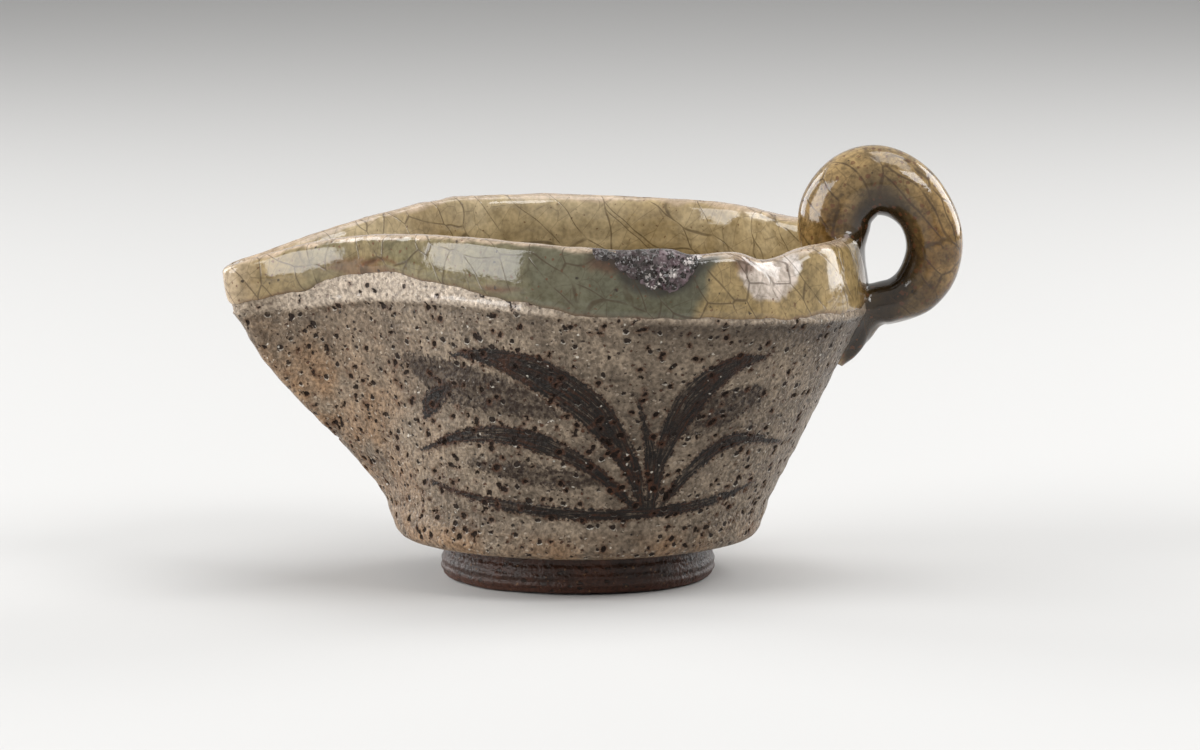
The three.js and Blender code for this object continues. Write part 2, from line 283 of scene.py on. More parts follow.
def through(points, count):
    """Rows of a smooth curve through unevenly spaced points, which go on evenly from point to point."""
    known = np.array(points, float)
    known = np.vstack([2 * known[0] - known[1], known, 2 * known[-1] - known[-2]])
    gap = np.sqrt(np.linalg.norm(np.diff(known[:, :2], axis=0), axis=1))[:, None]
    place = np.linspace(0, len(points) - 1, count)
    i = np.minimum(place.astype(int), len(points) - 2)
    t = (place - i)[:, None]
    a, b, c, d = (known[i + step] for step in range(4))
    before, span, after = (gap[i + step] for step in range(3))
    start = ((b - a) / before - (c - a) / (before + span) + (c - b) / span) * span
    end = ((c - b) / span - (d - b) / (span + after) + (d - c) / after) * span
    return b + start * t + (3 * (c - b) - 2 * start - end) * t**2 + (2 * (b - c) + start + end) * t**3


def circle(columns, radius, height):
    angle = 2 * np.pi * np.arange(columns) / columns
    return np.stack([radius * np.cos(angle), radius * np.sin(angle), np.full(columns, height)], -1)


def rim_ring(shape, columns):
    ring = mouth_ring(shape, columns, dent=DENT["depth"])
    ring[:, 2] = rim_height(ring[:, 0], ring[:, 1])
    return ring


def wall_row(low, high, t):
    """A row of the wall. Below the beak the wall starts steeply and then sweeps outwards."""
    beak = smooth_step(25, 65, -high[:, 0])
    out = (t - BEAK_SWEEP * beak * np.sin(2 * np.pi * t))[:, None]
    row = low * (1 - out) + high * out
    row[:, 2] = low[:, 2] * (1 - t) + high[:, 2] * t
    return row


def collar_row(columns, rise):
    """A row of the collar at a height above the shoulder, in millimetres for each column."""
    low = mouth_ring(SHOULDER, columns)
    high = rim_ring(RIM, columns)
    share = (rise / (high[:, 2] - low[:, 2]))[:, None]
    return low * (1 - share) + high * share


def lip_row(columns, angle):
    """A row of the round lip, from 0 at its outer side to pi at its inner side."""
    outer = rim_ring(RIM, columns)
    inner = rim_ring(INNER_RIM, columns)
    share = (1 - np.cos(angle)) / 2
    row = outer * (1 - share) + inner * share
    row[:, 2] -= LIP_ROUND * (1 - np.sin(angle))
    return row


def inside_bands(columns, spacing):
    """Rails of the inside from the lip down to the middle of the floor, each with its row spacing."""
    corner = circle(columns, 35, 19.5)
    shoulder = mouth_ring(INNER_SHOULDER, columns)
    rim = rim_ring(INNER_RIM, columns)
    return [
        (spacing, (shoulder + rim) / 2),
        (spacing, shoulder),
        (spacing, wall_row(corner, shoulder, 0.65)),
        (spacing, wall_row(corner, shoulder, 0.3)),
        (spacing, corner),
        (spacing, circle(columns, 32.2, FLOOR_HEIGHT + 2.1)),
        (spacing, circle(columns, 27, FLOOR_HEIGHT + 0.5)),
        (spacing * 2, circle(columns, 14, FLOOR_HEIGHT)),
        (spacing * 2, circle(columns, 1, FLOOR_HEIGHT)),
    ]


def fill_bands(first, bands):
    """Rows of points from the first rail through all the others, with steps of about each spacing."""
    rows = [first]
    for spacing, rail in bands:
        start = rows[-1]
        steps = max(1, int(np.ceil(np.linalg.norm(rail - start, axis=1).max() / spacing)))
        rows.extend(start + (rail - start) * step / steps for step in range(1, steps + 1))
    return np.array(rows)


def soften(grid, passes):
    """Rounds the corners between rows."""
    for _ in range(passes):
        grid[1:-1] = (grid[:-2] + 2 * grid[1:-1] + grid[2:]) / 4
    return grid


def grid_normals(grid):
    """Outward directions at the points of a grid whose rows are closed rings."""
    along = np.roll(grid, -1, axis=1) - np.roll(grid, 1, axis=1)
    normals = np.cross(along, np.gradient(grid, axis=0))
    return normals / np.maximum(np.linalg.norm(normals, axis=-1, keepdims=True), 1e-9)


def noise(points, size, seed):
    """Smooth random values from -1 to 1 that change over about size millimetres."""
    table = np.random.default_rng(seed).uniform(-1, 1, 4096)
    spots = points / size + 7.3 * seed
    cell = np.floor(spots).astype(np.int64)
    part = spots - cell
    part = part * part * (3 - 2 * part)
    total = np.zeros(points.shape[:-1])
    for corner in itertools.product((0, 1), repeat=3):
        weight = np.prod(np.where(corner, part, 1 - part), axis=-1)
        x, y, z = axes(cell + corner)
        total += weight * table[(x * 73856093 ^ y * 19349663 ^ z * 83492791) & 4095]
    return total


# Meshes

def ring_faces(rows, columns, joined=False):
    """Quads between rings, and between the last ring and the first where they are joined."""
    index = np.arange(rows * columns).reshape(rows, columns)
    if joined:
        index = np.vstack([index, index[:1]])
    beside = np.roll(index, -1, axis=1)
    quads = np.stack([index[:-1], beside[:-1], beside[1:], index[1:]], axis=-1)
    return quads.reshape(-1, 4).tolist()


def capped(grid):
    """Points and faces of a grid of rings whose first and last rings close on a middle point."""
    rows, columns = grid.shape[:2]
    ends = grid[[0, -1]].mean(axis=1)
    points = np.vstack([grid.reshape(-1, 3), ends])
    faces = ring_faces(rows, columns)
    first = rows * columns
    top = (rows - 1) * columns
    for column in range(columns):
        beside = (column + 1) % columns
        faces.append([beside, column, first])
        faces.append([top + column, top + beside, first + 1])
    return points, faces


def add_piece(name, points, faces, material, node, fields=None):
    """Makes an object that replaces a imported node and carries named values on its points."""
    mesh = bpy.data.meshes.new(name)
    mesh.from_pydata(((points * MILLIMETRE) + FOOT_MIDDLE).tolist(), [], faces)
    for field, values in (fields or {}).items():
        flat = np.zeros(len(points), np.float32)
        flat[: values.size] = values.ravel()
        mesh.attributes.new(field, "FLOAT", "POINT").data.foreach_set("value", flat)
    mesh.shade_smooth()
    mesh.materials.append(material)
    piece = bpy.data.objects.new(name, mesh)
    bpy.context.scene.collection.objects.link(piece)
    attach(piece, "root")
    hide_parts(node)


# Marks in the clay

def pit_fields(grid, rows, count, depth):
    """The distance of each point from the edge of the nearest pit, and how deep the pits cut there.

    The pits of side a are round. Most of those on side b were dragged sideways by the turning tool.
    """
    random = np.random.default_rng(41)
    columns = grid.shape[1]
    distance = np.full(grid.shape[:2], 3.0)
    cut = np.zeros(grid.shape[:2])
    for _ in range(count):
        row = random.integers(*rows)
        column = random.integers(columns)
        middle = grid[row, column] + random.uniform(-0.3, 0.3, 3)
        if middle[1] < 0 and random.random() < PITS_LEFT_OUT:
            continue
        dragged = middle[1] > 0 and random.random() < PITS_DRAGGED
        half_height = random.uniform(0.3, 0.56) if dragged else random.uniform(0.3, 0.62)
        half_width = half_height * (random.uniform(1.4, 3.0) if dragged else random.uniform(0.8, 1.4))
        lean = random.uniform(-0.3, 0.3)
        near_rows = np.arange(max(row - 5, 1), min(row + 6, len(grid) - 1))
        near_columns = np.arange(column - 7, column + 8) % columns
        near = np.ix_(near_rows, near_columns)
        offset = grid[near] - middle
        tangent = grid[row, (column + 2) % columns] - grid[row, column - 2]
        across = offset @ (tangent / np.linalg.norm(tangent))
        rise = np.sqrt(np.maximum((offset**2).sum(-1) - across**2, 0)) * np.sign(offset[..., 2])
        rise -= lean * across
        span = np.sqrt((across / half_width) ** 2 + (rise / half_height) ** 2)
        distance[near] = np.minimum(distance[near], (span - 1) * half_height)
        bite = depth * random.uniform(0.6, 1.2) * smooth_step(1.3, 0.3, span)
        cut[near] = np.maximum(cut[near], bite)
    return distance, cut


def brush_field(points, strokes):
    """The distance of each point of side a from the edge of the nearest brush stroke."""
    distance = np.full(points.shape[:-1], 9.0)
    on_side_a = points[..., 1] < -5
    x, z = points[on_side_a][:, 0], points[on_side_a][:, 2]
    nearest = np.full(len(x), 9.0)
    for stroke in strokes:
        spot_x, spot_z, half = through(stroke, 8 * len(stroke)).T
        for i in range(len(half) - 1):
            way_x, way_z = spot_x[i + 1] - spot_x[i], spot_z[i + 1] - spot_z[i]
            share = ((x - spot_x[i]) * way_x + (z - spot_z[i]) * way_z) / (way_x**2 + way_z**2)
            share = np.clip(share, 0, 1)
            away = np.hypot(x - spot_x[i] - share * way_x, z - spot_z[i] - share * way_z)
            nearest = np.minimum(nearest, away - half[i] - share * (half[i + 1] - half[i]))
    distance[on_side_a] = nearest
    return distance


def over_edge(points):
    """How far a point of the collar lies above the lower edge of the glaze."""
    x, y, z = axes(points)
    return z - shoulder_height(x) - edge_height(x, y) - edge_waves(points)


def edge_waves(points):
    """The lower edge of the glaze runs in long waves with small scallops on them."""
    flat = points * (1, 1, 0)
    return 0.7 * noise(flat, 9, 3) + 0.35 * noise(flat, 3.2, 4)


def creases(points):
    """How deep the finger creases cut at each point."""
    x, y, z = axes(points)
    total = np.zeros(x.shape)
    for place, side, depth, reach in CREASES:
        total += depth * hill(x - place - (CREASE_TOP - z) * CREASE_LEAN, reach) * (np.sign(y) == side)
    return total * window(z, 14, 24, 58, 68)


def collar_bulge(points):
    """The collar swells a little between the shoulder and the rim, and more beside the beak."""
    x, y, z = axes(points)
    share = (z - shoulder_height(x)) / (rim_height(x, y) - shoulder_height(x))
    return (0.6 + 1.1 * hill(x + 60, 7)) * np.sin(np.pi * np.clip(share, 0, 1))


# The pieces

def body_bands(columns, spacing):
    """Rails of the clay from the middle of the underside up the wall, over the lip and inside."""
    start = circle(columns, WALL_START, BASE_HEIGHT)
    shoulder = mouth_ring(SHOULDER, columns)
    neck = mouth_ring(SHOULDER, columns, -0.5)
    neck[:, 2] -= 1.6
    level = np.ones(columns)
    wall = [(spacing, wall_row(start, shoulder, t)) for t in np.linspace(0.14, 0.96, 12)]
    under = [
        (2.4, circle(columns, 33.5, UNDERSIDE)),
        (1.2, circle(columns, BASE_RADIUS - 1.4, UNDERSIDE + 0.8)),
        (0.5, circle(columns, BASE_RADIUS, BASE_HEIGHT)),
    ]
    collar = [(spacing, collar_row(columns, 7.6 * level)), (3.0, lip_row(columns, 0.0))]
    lip = [(9.0, lip_row(columns, angle)) for angle in np.linspace(0.35, np.pi - 0.35, 8)]
    inside = [(3.0, rail) for _, rail in inside_bands(columns, 3.0)]
    return [*under, *wall, (spacing, neck), (spacing, shoulder), *collar, *lip, *inside]


def body_fields(points, above, on_shoulder):
    """Where the clay is painted with iron, sandy, glossy under a painted sheen, given painted shade,
    and flashed by the fire.
    """
    x, y, z = axes(points)
    # sheen marks the clay band between the shoulder and the glaze towards the beak: it gives that band
    # a glossy coat and also a painted sheen, pale colour standing in for the lamps' reflection
    sheen_a = smooth_step(0, -12, x)
    sheen_b = smooth_step(-20, -36, x) * smooth_step(0.4, 2.0, on_shoulder)
    # shade is painted shade below the shoulder: on side a towards the handle, on side b over the middle
    # and the beak half, deepest near the middle
    shade_a = smooth_step(-11, -1, on_shoulder) * smooth_step(-5, 28, x)
    shade_b = smooth_step(28, 8, x) * (0.5 + 0.4 * hill(x - 2, 16))
    sheen = smooth_step(-0.8, 0.6, on_shoulder) * smooth_step(-68, -58, x)
    return {
        "over_edge": above,
        "under_rim": rim_height(x, y) - z,
        "stroke": brush_field(points, STROKES),
        "wash": brush_field(points, WASHES),
        "on_shoulder": on_shoulder,
        "sheen": sheen * np.where(y < 0, sheen_a, sheen_b),
        "shade": smooth_step(0.5, -0.7, on_shoulder) * np.where(y < 0, shade_a, shade_b),
        "warmth": smooth_step(-20, -62, x) * smooth_step(70, 30, z) + 0.7 * smooth_step(17, 10, z),
    }


def body_grid(shape):
    """The clay of the bowl as rings of points with all its marks, and the fields of its colours."""
    first = circle(shape.columns, 2, UNDERSIDE)
    grid = soften(fill_bands(first, body_bands(shape.columns, shape.row_spacing)), 2)
    normals = grid_normals(grid)
    x, y, z = axes(grid)
    radius = np.hypot(x, y)
    facing_out = np.einsum("rci,rci->rc", normals, grid * (1, 1, 0)) / np.maximum(radius, 1)
    outside = smooth_step(-0.2, 0.3, facing_out) * smooth_step(10, 12, z)
    above = over_edge(grid)
    wall_rows = np.nonzero((z.mean(axis=1) > 11.5) & (facing_out.mean(axis=1) > 0.3))[0]
    rows = (wall_rows[0], wall_rows[-1])
    distance, cut = pit_fields(grid, rows, shape.pit_count, shape.pit_depth)
    on_shoulder = z - shoulder_height(x)
    turning = 0.07 * np.sin(2 * np.pi * z / TURNING_PITCH + 1.5 * noise(grid, 40, 5))
    lumps = 0.2 * noise(grid, 20, 6) + 0.12 * noise(grid, 6, 7) + 0.09 * noise(grid, 1.5, 8)
    ridge = 0.6 * hill(on_shoulder - 0.1, 0.75) - 0.35 * hill(on_shoulder + 1.5, 0.7)
    ridge -= 0.28 * hill(on_shoulder - 1.9, 0.6)
    ridge *= np.where(y > 0, 1.0, 0.45)
    carved = cut * smooth_step(2.5, 0.5, above) * smooth_step(3.5, -0.5, on_shoulder) + creases(grid)
    move = outside * (turning + lumps + ridge - carved + collar_bulge(grid))
    lip = smooth_step(1.8, 0.4, rim_height(x, y) - z)
    turned_base = smooth_step(9.5, 8.8, z) * 0.12 * np.sin(2 * np.pi * radius / BASE_PITCH)
    move += lip * (0.12 * noise(grid, 5, 9) + 0.06 * noise(grid, 1.5, 10)) + turned_base
    move -= 0.35 * smooth_step(0.8, 3.0, above) * (on_shoulder > 0) * (1 - lip)
    move -= 1.4 * smooth_step(0.1, -0.2, facing_out) * smooth_step(13, 14, z) * (1 - lip)
    fields = body_fields(grid, above, on_shoulder)
    fields["pit"] = distance + 3 * smooth_step(0.5, 3.5, on_shoulder) * (y > 0)
    return grid + normals * move[..., None], fields


def coat(base, thickness, sunk=0.5):
    """A coat laid on a grid: its front stands proud of the grid and its back lies in the clay."""
    normals = grid_normals(base)
    return base + normals * thickness[..., None], base - normals * sunk


def collar_grid(shape):
    """The outer glaze from its wavy lower edge up to the lip, as the front and the back of a coat."""
    columns = shape.columns
    low = mouth_ring(SHOULDER, columns)
    tall = rim_ring(RIM, columns)[:, 2] - low[:, 2]
    rise = edge_height(low[:, 0], low[:, 1]) + edge_waves(low)
    top = tall - LIP_ROUND
    steps = np.append(np.linspace(0, 0.12, 6), np.linspace(0.16, 1, 22))
    rows = [collar_row(columns, rise + (top - rise) * step) for step in steps]
    rows += [lip_row(columns, angle) for angle in np.linspace(0.25, 1.15, 5)]
    grid = soften(np.array(rows), 1)
    above = np.array([(top - rise) * step for step in steps] + [top - rise + 1] * 5)
    x, y = grid[..., 0], grid[..., 1]
    rounding = np.sqrt(np.clip(1 - (1 - np.clip(above / 1.6, 0, 1)) ** 2, 0, 1))
    rolled = 0.15 + window(x, 14, 20, 38, 44) * (y > 0)
    bead = shape.edge_bead * rolled * hill(above - 1.0, 0.8)
    waves = 0.1 * noise(grid, 14, 12) + 0.03 * noise(grid, 5, 13)
    thickness = (shape.glaze_thickness + waves) * rounding + bead
    thickness[-5:] *= np.linspace(0.9, 0.05, 5)[:, None]
    bulge = collar_bulge(grid)
    front, back = coat(grid, thickness - 0.1 * (1 - rounding) + bulge, 0.5 + bulge[..., None])
    return front, back, above


def lining_grid(shape):
    """The inner glaze from the lip down to the middle of the floor."""
    columns = shape.columns * 3 // 4
    first = lip_row(columns, np.pi - 1.15)
    lip = [(9.0, lip_row(columns, angle)) for angle in np.linspace(np.pi - 0.95, np.pi, 4)]
    grid = soften(fill_bands(first, lip + inside_bands(columns, 1.1)), 2)
    z = grid[..., 2]
    spiral = np.arctan2(grid[..., 1], grid[..., 0])
    fade = smooth_step(76, 66, z)
    throwing = 0.14 * fade * np.sin(2 * np.pi * z / THROWING_PITCH + spiral + noise(grid, 30, 14))
    waves = 0.24 * noise(grid, 18, 15) + 0.05 * noise(grid, 6, 16)
    pool = 0.5 * smooth_step(22, 15, z)
    rim = rim_height(grid[..., 0], grid[..., 1])
    swell = 0.9 * np.sin(np.pi * np.clip((rim - z) / INNER_SWELL, 0, 1))
    thickness = shape.glaze_thickness + throwing + waves * smooth_step(0, 3, rim - z) + pool + swell
    taper = smooth_step(-1, 5, np.arange(len(grid)))[:, None]
    return coat(grid, thickness * taper)


def handle_grid(shape):
    """A sweep of ellipses along the handle's centre line, with the dents of the fingers on it."""
    x, z, thick, wide = soften(through(HANDLE, HANDLE_ROWS), 20).T
    tangent = np.stack([np.gradient(x), np.gradient(z)], -1)
    tangent /= np.linalg.norm(tangent, axis=1, keepdims=True)
    angle = 2 * np.pi * np.arange(HANDLE_COLUMNS) / HANDLE_COLUMNS
    out = thick[:, None] * np.cos(angle)
    across = wide[:, None] * np.sin(angle)
    grid = np.stack([
        x[:, None] + out * tangent[:, 1:],
        across,
        z[:, None] - out * tangent[:, :1],
    ], -1)
    normals = grid_normals(grid)
    lumps = 0.22 * noise(grid, 12, 17) + 0.07 * noise(grid, 5, 18)
    lumps += 0.6 * noise(grid, 3.2, 43) * smooth_step(59, 54, grid[..., 2])
    return grid + normals * (lumps * shape.coil_lumps)[..., None], normals


def blend_to_bowl(grid, normals, bowl_points, bowl_faces, reach):
    """Flares a grid where it meets the bowl, so that the glaze runs into the corner between them."""
    tree = BVHTree.FromPolygons(bowl_points.tolist(), bowl_faces)
    moves = np.zeros((grid.shape[0] * grid.shape[1], 3))
    for i, (point, normal) in enumerate(zip(grid.reshape(-1, 3), normals.reshape(-1, 3))):
        spot, facing, _, away = tree.find_nearest(Vector(point))
        facing = np.array(facing)
        inside = away < WALL_THICKNESS and facing @ (point - np.array(spot)) < 0
        height = 0.0 if inside else away
        if height < reach:
            sideways = normal - facing * (normal @ facing)
            grow = reach - np.sqrt(reach**2 - (reach - height) ** 2)
            moves[i] = sideways / max(np.linalg.norm(sideways), 0.3) * grow
    moves = moves.reshape(grid.shape)
    for _ in range(4):
        moves = (np.roll(moves, 1, axis=1) + 2 * moves + np.roll(moves, -1, axis=1)) / 4
    return grid + soften(moves, 4)


def foot_grid(columns):
    """The turned foot ring, with tool rings and a slightly chipped sole."""
    profile = np.array(FOOT_PROFILE)
    length = np.append(0, np.cumsum(np.linalg.norm(np.diff(profile, axis=0), axis=1)))
    along = np.linspace(0, length[-1], FOOT_ROWS)
    radius = np.interp(along, length, profile[:, 0])
    height = np.interp(along, length, profile[:, 1])
    grid = np.array([circle(columns, r, h) for r, h in zip(radius, height)])
    grid = soften(grid, 2)
    normals = grid_normals(grid)
    outer = smooth_step(28.8, 29.2, np.hypot(grid[..., 0], grid[..., 1]))
    tool = 0.12 * outer * np.sin(2 * np.pi * grid[..., 2] / FOOT_PITCH + 2 * noise(grid, 25, 19))
    rough = 0.16 * noise(grid, 7, 20) + 0.1 * noise(grid, 2, 21)
    grid = grid + normals * (tool + rough - 0.15)[..., None]
    grid[..., 2] = np.maximum(grid[..., 2], 0.0)
    return grid


def crust_grid(shape):
    """The crust as the front and the back of a patch on the lip and the collar of side a."""
    columns = shape.columns * 4
    down = np.linspace(CRUST_REACH, 0, CRUST_ROWS)[:, None] * np.ones(columns)
    low = mouth_ring(SHOULDER, columns)
    tall = rim_ring(RIM, columns)[:, 2] - low[:, 2]
    rows = [collar_row(columns, tall - LIP_ROUND - step) for step in down]
    angles = np.linspace(0, 2.0, 16)[1:]
    rows += [lip_row(columns, angle) for angle in angles]
    grid = np.array(rows)
    depth_on_lip = LIP_ROUND * (1 - np.sin(angles))[:, None] * np.ones(columns)
    depth = np.vstack([down + LIP_ROUND, depth_on_lip])
    near = np.nonzero((low[:, 1] < 0) & (low[:, 0] > 1) & (low[:, 0] < 31))[0]
    normals = grid_normals(grid)[:, near]
    bulge = collar_bulge(grid)[:, near]
    grid, depth = grid[:, near], depth[:, near]
    hang = smooth_line(CRUST_HANG)(grid[..., 0])
    inner = smooth_step(2.0, 0.9, np.append(0 * down[:, 0], angles))[:, None]
    reach = hang - depth + 1.9 * noise(grid, 3.2, 22) + 0.9 * noise(grid, 1.2, 23)
    ends = window(grid[..., 0], 1.5, 5, 26, 29)
    mask = smooth_step(-0.2, 1.6, reach) * ends * inner
    lumps = 0.4 + 0.7 * noise(grid, 2.6, 24) + 0.55 * noise(grid, 1.1, 25) + 0.3 * noise(grid, 0.5, 37)
    over_lip = np.append(np.ones(len(down)), 1 - 0.85 * np.sin(np.minimum(angles, np.pi / 2)))[:, None]
    rise = bulge - 0.1 + mask * over_lip * (0.55 + CRUST_THICKNESS * np.maximum(lumps, -0.2))
    return grid + normals * rise[..., None], grid + normals * (bulge - 0.6)[..., None]


def slab(front, back):
    """Points and faces of a closed patch between a front and a back grid."""
    rows, columns = front.shape[:2]
    points = np.vstack([front.reshape(-1, 3), back.reshape(-1, 3)])
    index = np.arange(rows * columns).reshape(rows, columns)
    quads = np.stack([index[:-1, :-1], index[:-1, 1:], index[1:, 1:], index[1:, :-1]], -1)
    quads = quads.reshape(-1, 4)
    border = np.concatenate([index[0], index[1:, -1], index[-1, -2::-1], index[-2:0:-1, 0]])
    beyond = np.roll(border, -1)
    count = rows * columns
    rim = np.stack([beyond, border, border + count, beyond + count], -1)
    return points, np.vstack([quads, quads[:, ::-1] + count, rim]).tolist()


# Nodes of the materials

class Value:
    """An output of a node. Arithmetic with it adds the nodes that work out the result."""

    def __init__(self, board, socket):
        self.board = board
        self.socket = socket

    def __add__(self, other):
        return self.board.math("ADD", self, other)

    def __sub__(self, other):
        return self.board.math("SUBTRACT", self, other)

    def __rsub__(self, other):
        return self.board.math("SUBTRACT", other, self)

    def __mul__(self, other):
        return self.board.math("MULTIPLY", self, other)

    def __truediv__(self, other):
        return self.board.math("DIVIDE", self, other)

    def __rtruediv__(self, other):
        return self.board.math("DIVIDE", other, self)

    def most(self, other):
        return self.board.math("MAXIMUM", self, other)

    def smooth(self, low, high):
        """0 below low and 1 above high, or the other way round where low is the higher."""
        sockets = {"Value": self, "From Min": low, "From Max": high}
        return self.board.read("ShaderNodeMapRange", "Result", sockets, interpolation_type="SMOOTHSTEP")

    def spread(self, low, high):
        """Turns values from 0 to 1 into values from low to high."""
        sockets = {"Value": self, "To Min": low, "To Max": high}
        return self.board.read("ShaderNodeMapRange", "Result", sockets)

    def tint(self, mask, paint, level=1.0):
        """Lays a paint over this colour where the mask is, with a strength."""
        return self.board.mix(mask if level == 1.0 else mask * level, self, paint)

    def shade(self, cloud, dark, light):
        """Multiplies this colour by a tone that goes from dark to light with a cloud."""
        return self.board.mix(1.0, self, self.board.mix(cloud, dark, light), "MULTIPLY")


class Board:
    """Adds nodes to one tree. What goes into a socket is a number, a colour or a Value."""

    def __init__(self, tree):
        self.tree = tree

    def put(self, given, socket):
        """Links a Value to a socket, or sets the number or colour in it."""
        if isinstance(given, Value):
            self.tree.links.new(given.socket, socket)
        elif socket.type == "RGBA":
            socket.default_value = (*given, 1.0)
        else:
            socket.default_value = given

    def dress(self, node, sockets):
        for name, given in sockets.items():
            self.put(given, node.inputs[name])

    def add(self, kind, sockets, **settings):
        node = self.tree.nodes.new(kind)
        for name, setting in settings.items():
            setattr(node, name, setting)
        self.dress(node, sockets)
        return node

    def read(self, kind, output, sockets, **settings):
        """Adds a node and gives one of its outputs."""
        return Value(self, self.add(kind, sockets, **settings).outputs[output])

    def read_all(self, kind, sockets, **settings):
        """Adds a node and gives its outputs by name."""
        node = self.add(kind, sockets, **settings)
        return {socket.name: Value(self, socket) for socket in node.outputs}

    def math(self, operation, first, second):
        return self.read("ShaderNodeMath", 0, {0: first, 1: second}, operation=operation)

    def vector(self, operation, first, second):
        """Vector maths. A vector is scaled by a number, which has a socket of its own."""
        sockets = {0: first, 3 if operation == "SCALE" else 1: second}
        return self.read("ShaderNodeVectorMath", 0, sockets, operation=operation)

    def mix(self, factor, first, second, blend_type="MIX"):
        sockets = {0: factor, 6: first, 7: second}
        return self.read("ShaderNodeMix", 2, sockets, data_type="RGBA", blend_type=blend_type)

    def field(self, name):
        return self.read("ShaderNodeAttribute", "Fac", {}, attribute_name=name)

    def millimetres(self):
        return self.vector("SCALE", self.read("ShaderNodeTexCoord", "Object", {}), 1 / MILLIMETRE)

    def split(self, place):
        """The x, y and z of a place."""
        return self.read_all("ShaderNodeSeparateXYZ", {"Vector": place}).values()

    def combine(self, x, y, z):
        return self.read("ShaderNodeCombineXYZ", 0, {0: x, 1: y, 2: z})

    def noise(self, place, scale, detail=2.0, output="Fac"):
        sockets = {"Vector": place, "Scale": scale, "Detail": detail}
        return self.read("ShaderNodeTexNoise", output, sockets)

    def cells(self, place, size, **settings):
        return self.read_all("ShaderNodeTexVoronoi", {"Vector": place, "Scale": 1.0 / size}, **settings)

    def bump(self, relief, distance):
        """The normal of a relief whose height of 1 is a distance in millimetres."""
        sockets = {"Height": relief, "Distance": distance * MILLIMETRE}
        return self.read("ShaderNodeBump", "Normal", sockets)

    def effect(self, name, **sockets):
        return self.read_all("ShaderNodeGroup", sockets, node_tree=bpy.data.node_groups[name])

    def mottle(self, size, detail=3.0, softness=0.2):
        return self.effect("Mottle", Size=size, Detail=detail, Softness=softness)["Cloud"]

    def speckle(self, spacing, share, stretch=1.0):
        return self.effect("Speckle", Spacing=spacing, Share=share, Stretch=stretch)

    def crackle(self, cell, line, bend, slant, tall):
        return self.effect("Crackle", Cell=cell, Line=line, Bend=bend, Slant=slant, Tall=tall)["Crack"]


def start_group(name, inputs, outputs):
    """A new shader group with number sockets: its board, its inputs and the sockets of its outputs."""
    tree = bpy.data.node_groups.new(name, "ShaderNodeTree")
    for socket, value in inputs.items():
        made = tree.interface.new_socket(name=socket, in_out="INPUT", socket_type="NodeSocketFloat")
        made.default_value = value
    for socket in outputs:
        tree.interface.new_socket(name=socket, in_out="OUTPUT", socket_type="NodeSocketFloat")
    board = Board(tree)
    return board, board.read_all("NodeGroupInput", {}), board.add("NodeGroupOutput", {}).inputs


def build_mottle_group():
    """Cloudy change of tone, from 0 to 1."""
    inputs = {"Size": 8.0, "Detail": 3.0, "Softness": 0.2}
    board, given, result = start_group("Mottle", inputs, ["Cloud"])
    cloud = board.noise(board.millimetres(), 1.0 / given["Size"], given["Detail"])
    cloud = cloud.smooth(0.5 - given["Softness"], given["Softness"] + 0.5)
    board.put(cloud, result["Cloud"])


def build_speckle_group():
    """Scattered specks of many sizes, drawn out sideways where Stretch is above 1.

    Rim is the crescent below each large speck, where a painted highlight stands for a pit catching
    the light, and Tone is a number of its own for each speck.
    """
    inputs = {"Spacing": 2.0, "Share": 0.3, "Stretch": 1.0}
    board, given, result = start_group("Speckle", inputs, ["Speck", "Rim", "Tone"])
    place = board.millimetres()
    shift = board.vector("SCALE", board.noise(place, 1.4, output="Color"), 0.9)
    squash = board.combine(1.0, 1.0, given["Stretch"])
    place = board.vector("MULTIPLY", board.vector("ADD", place, shift), squash)
    cells = board.cells(place, given["Spacing"])
    chance, tone, _ = board.read_all("ShaderNodeSeparateColor", {"Color": cells["Color"]}).values()
    inside = chance * given["Share"] - cells["Distance"]
    speck = inside.smooth(-0.04, 0.04)
    _, _, below = board.split(board.vector("SUBTRACT", cells["Position"], place))
    rim = inside.smooth(-0.11, -0.05) * below.smooth(0.25, 0.5) * (1.0 - speck)
    board.put(speck, result["Speck"])
    board.put(rim * chance.smooth(0.3, 0.6), result["Rim"])
    board.put(tone, result["Tone"])


def build_crackle_group():
    """The net of fine cracks in a glaze, whose lines come and go.

    Slant leans the cells, Tall draws them out upwards, and Bend bends their lines.
    """
    inputs = {"Cell": 9.0, "Line": 0.2, "Bend": 6.0, "Slant": 0.4, "Tall": 1.0}
    board, given, result = start_group("Crackle", inputs, ["Crack"])
    place = board.millimetres()
    x, y, z = board.split(place)
    leaned = board.combine(x + z * given["Slant"], y, z / given["Tall"])
    shift = board.vector("SCALE", board.noise(place, 0.09, 1.0, "Color"), given["Bend"])
    cells = board.cells(board.vector("ADD", leaned, shift), given["Cell"], feature="DISTANCE_TO_EDGE")
    away = cells["Distance"] * given["Cell"]
    line = away.smooth(given["Line"], given["Line"] * 0.25)
    board.put(line * board.noise(place, 0.2).smooth(0.28, 0.5), result["Crack"])


def start_material(name):
    """A material with its board and its Principled shader."""
    material = bpy.data.materials.new(name)
    material.use_nodes = True
    tree = material.node_tree
    return material, Board(tree), tree.nodes["Principled BSDF"]


def scaled(colour, level):
    return tuple(part * level for part in colour)


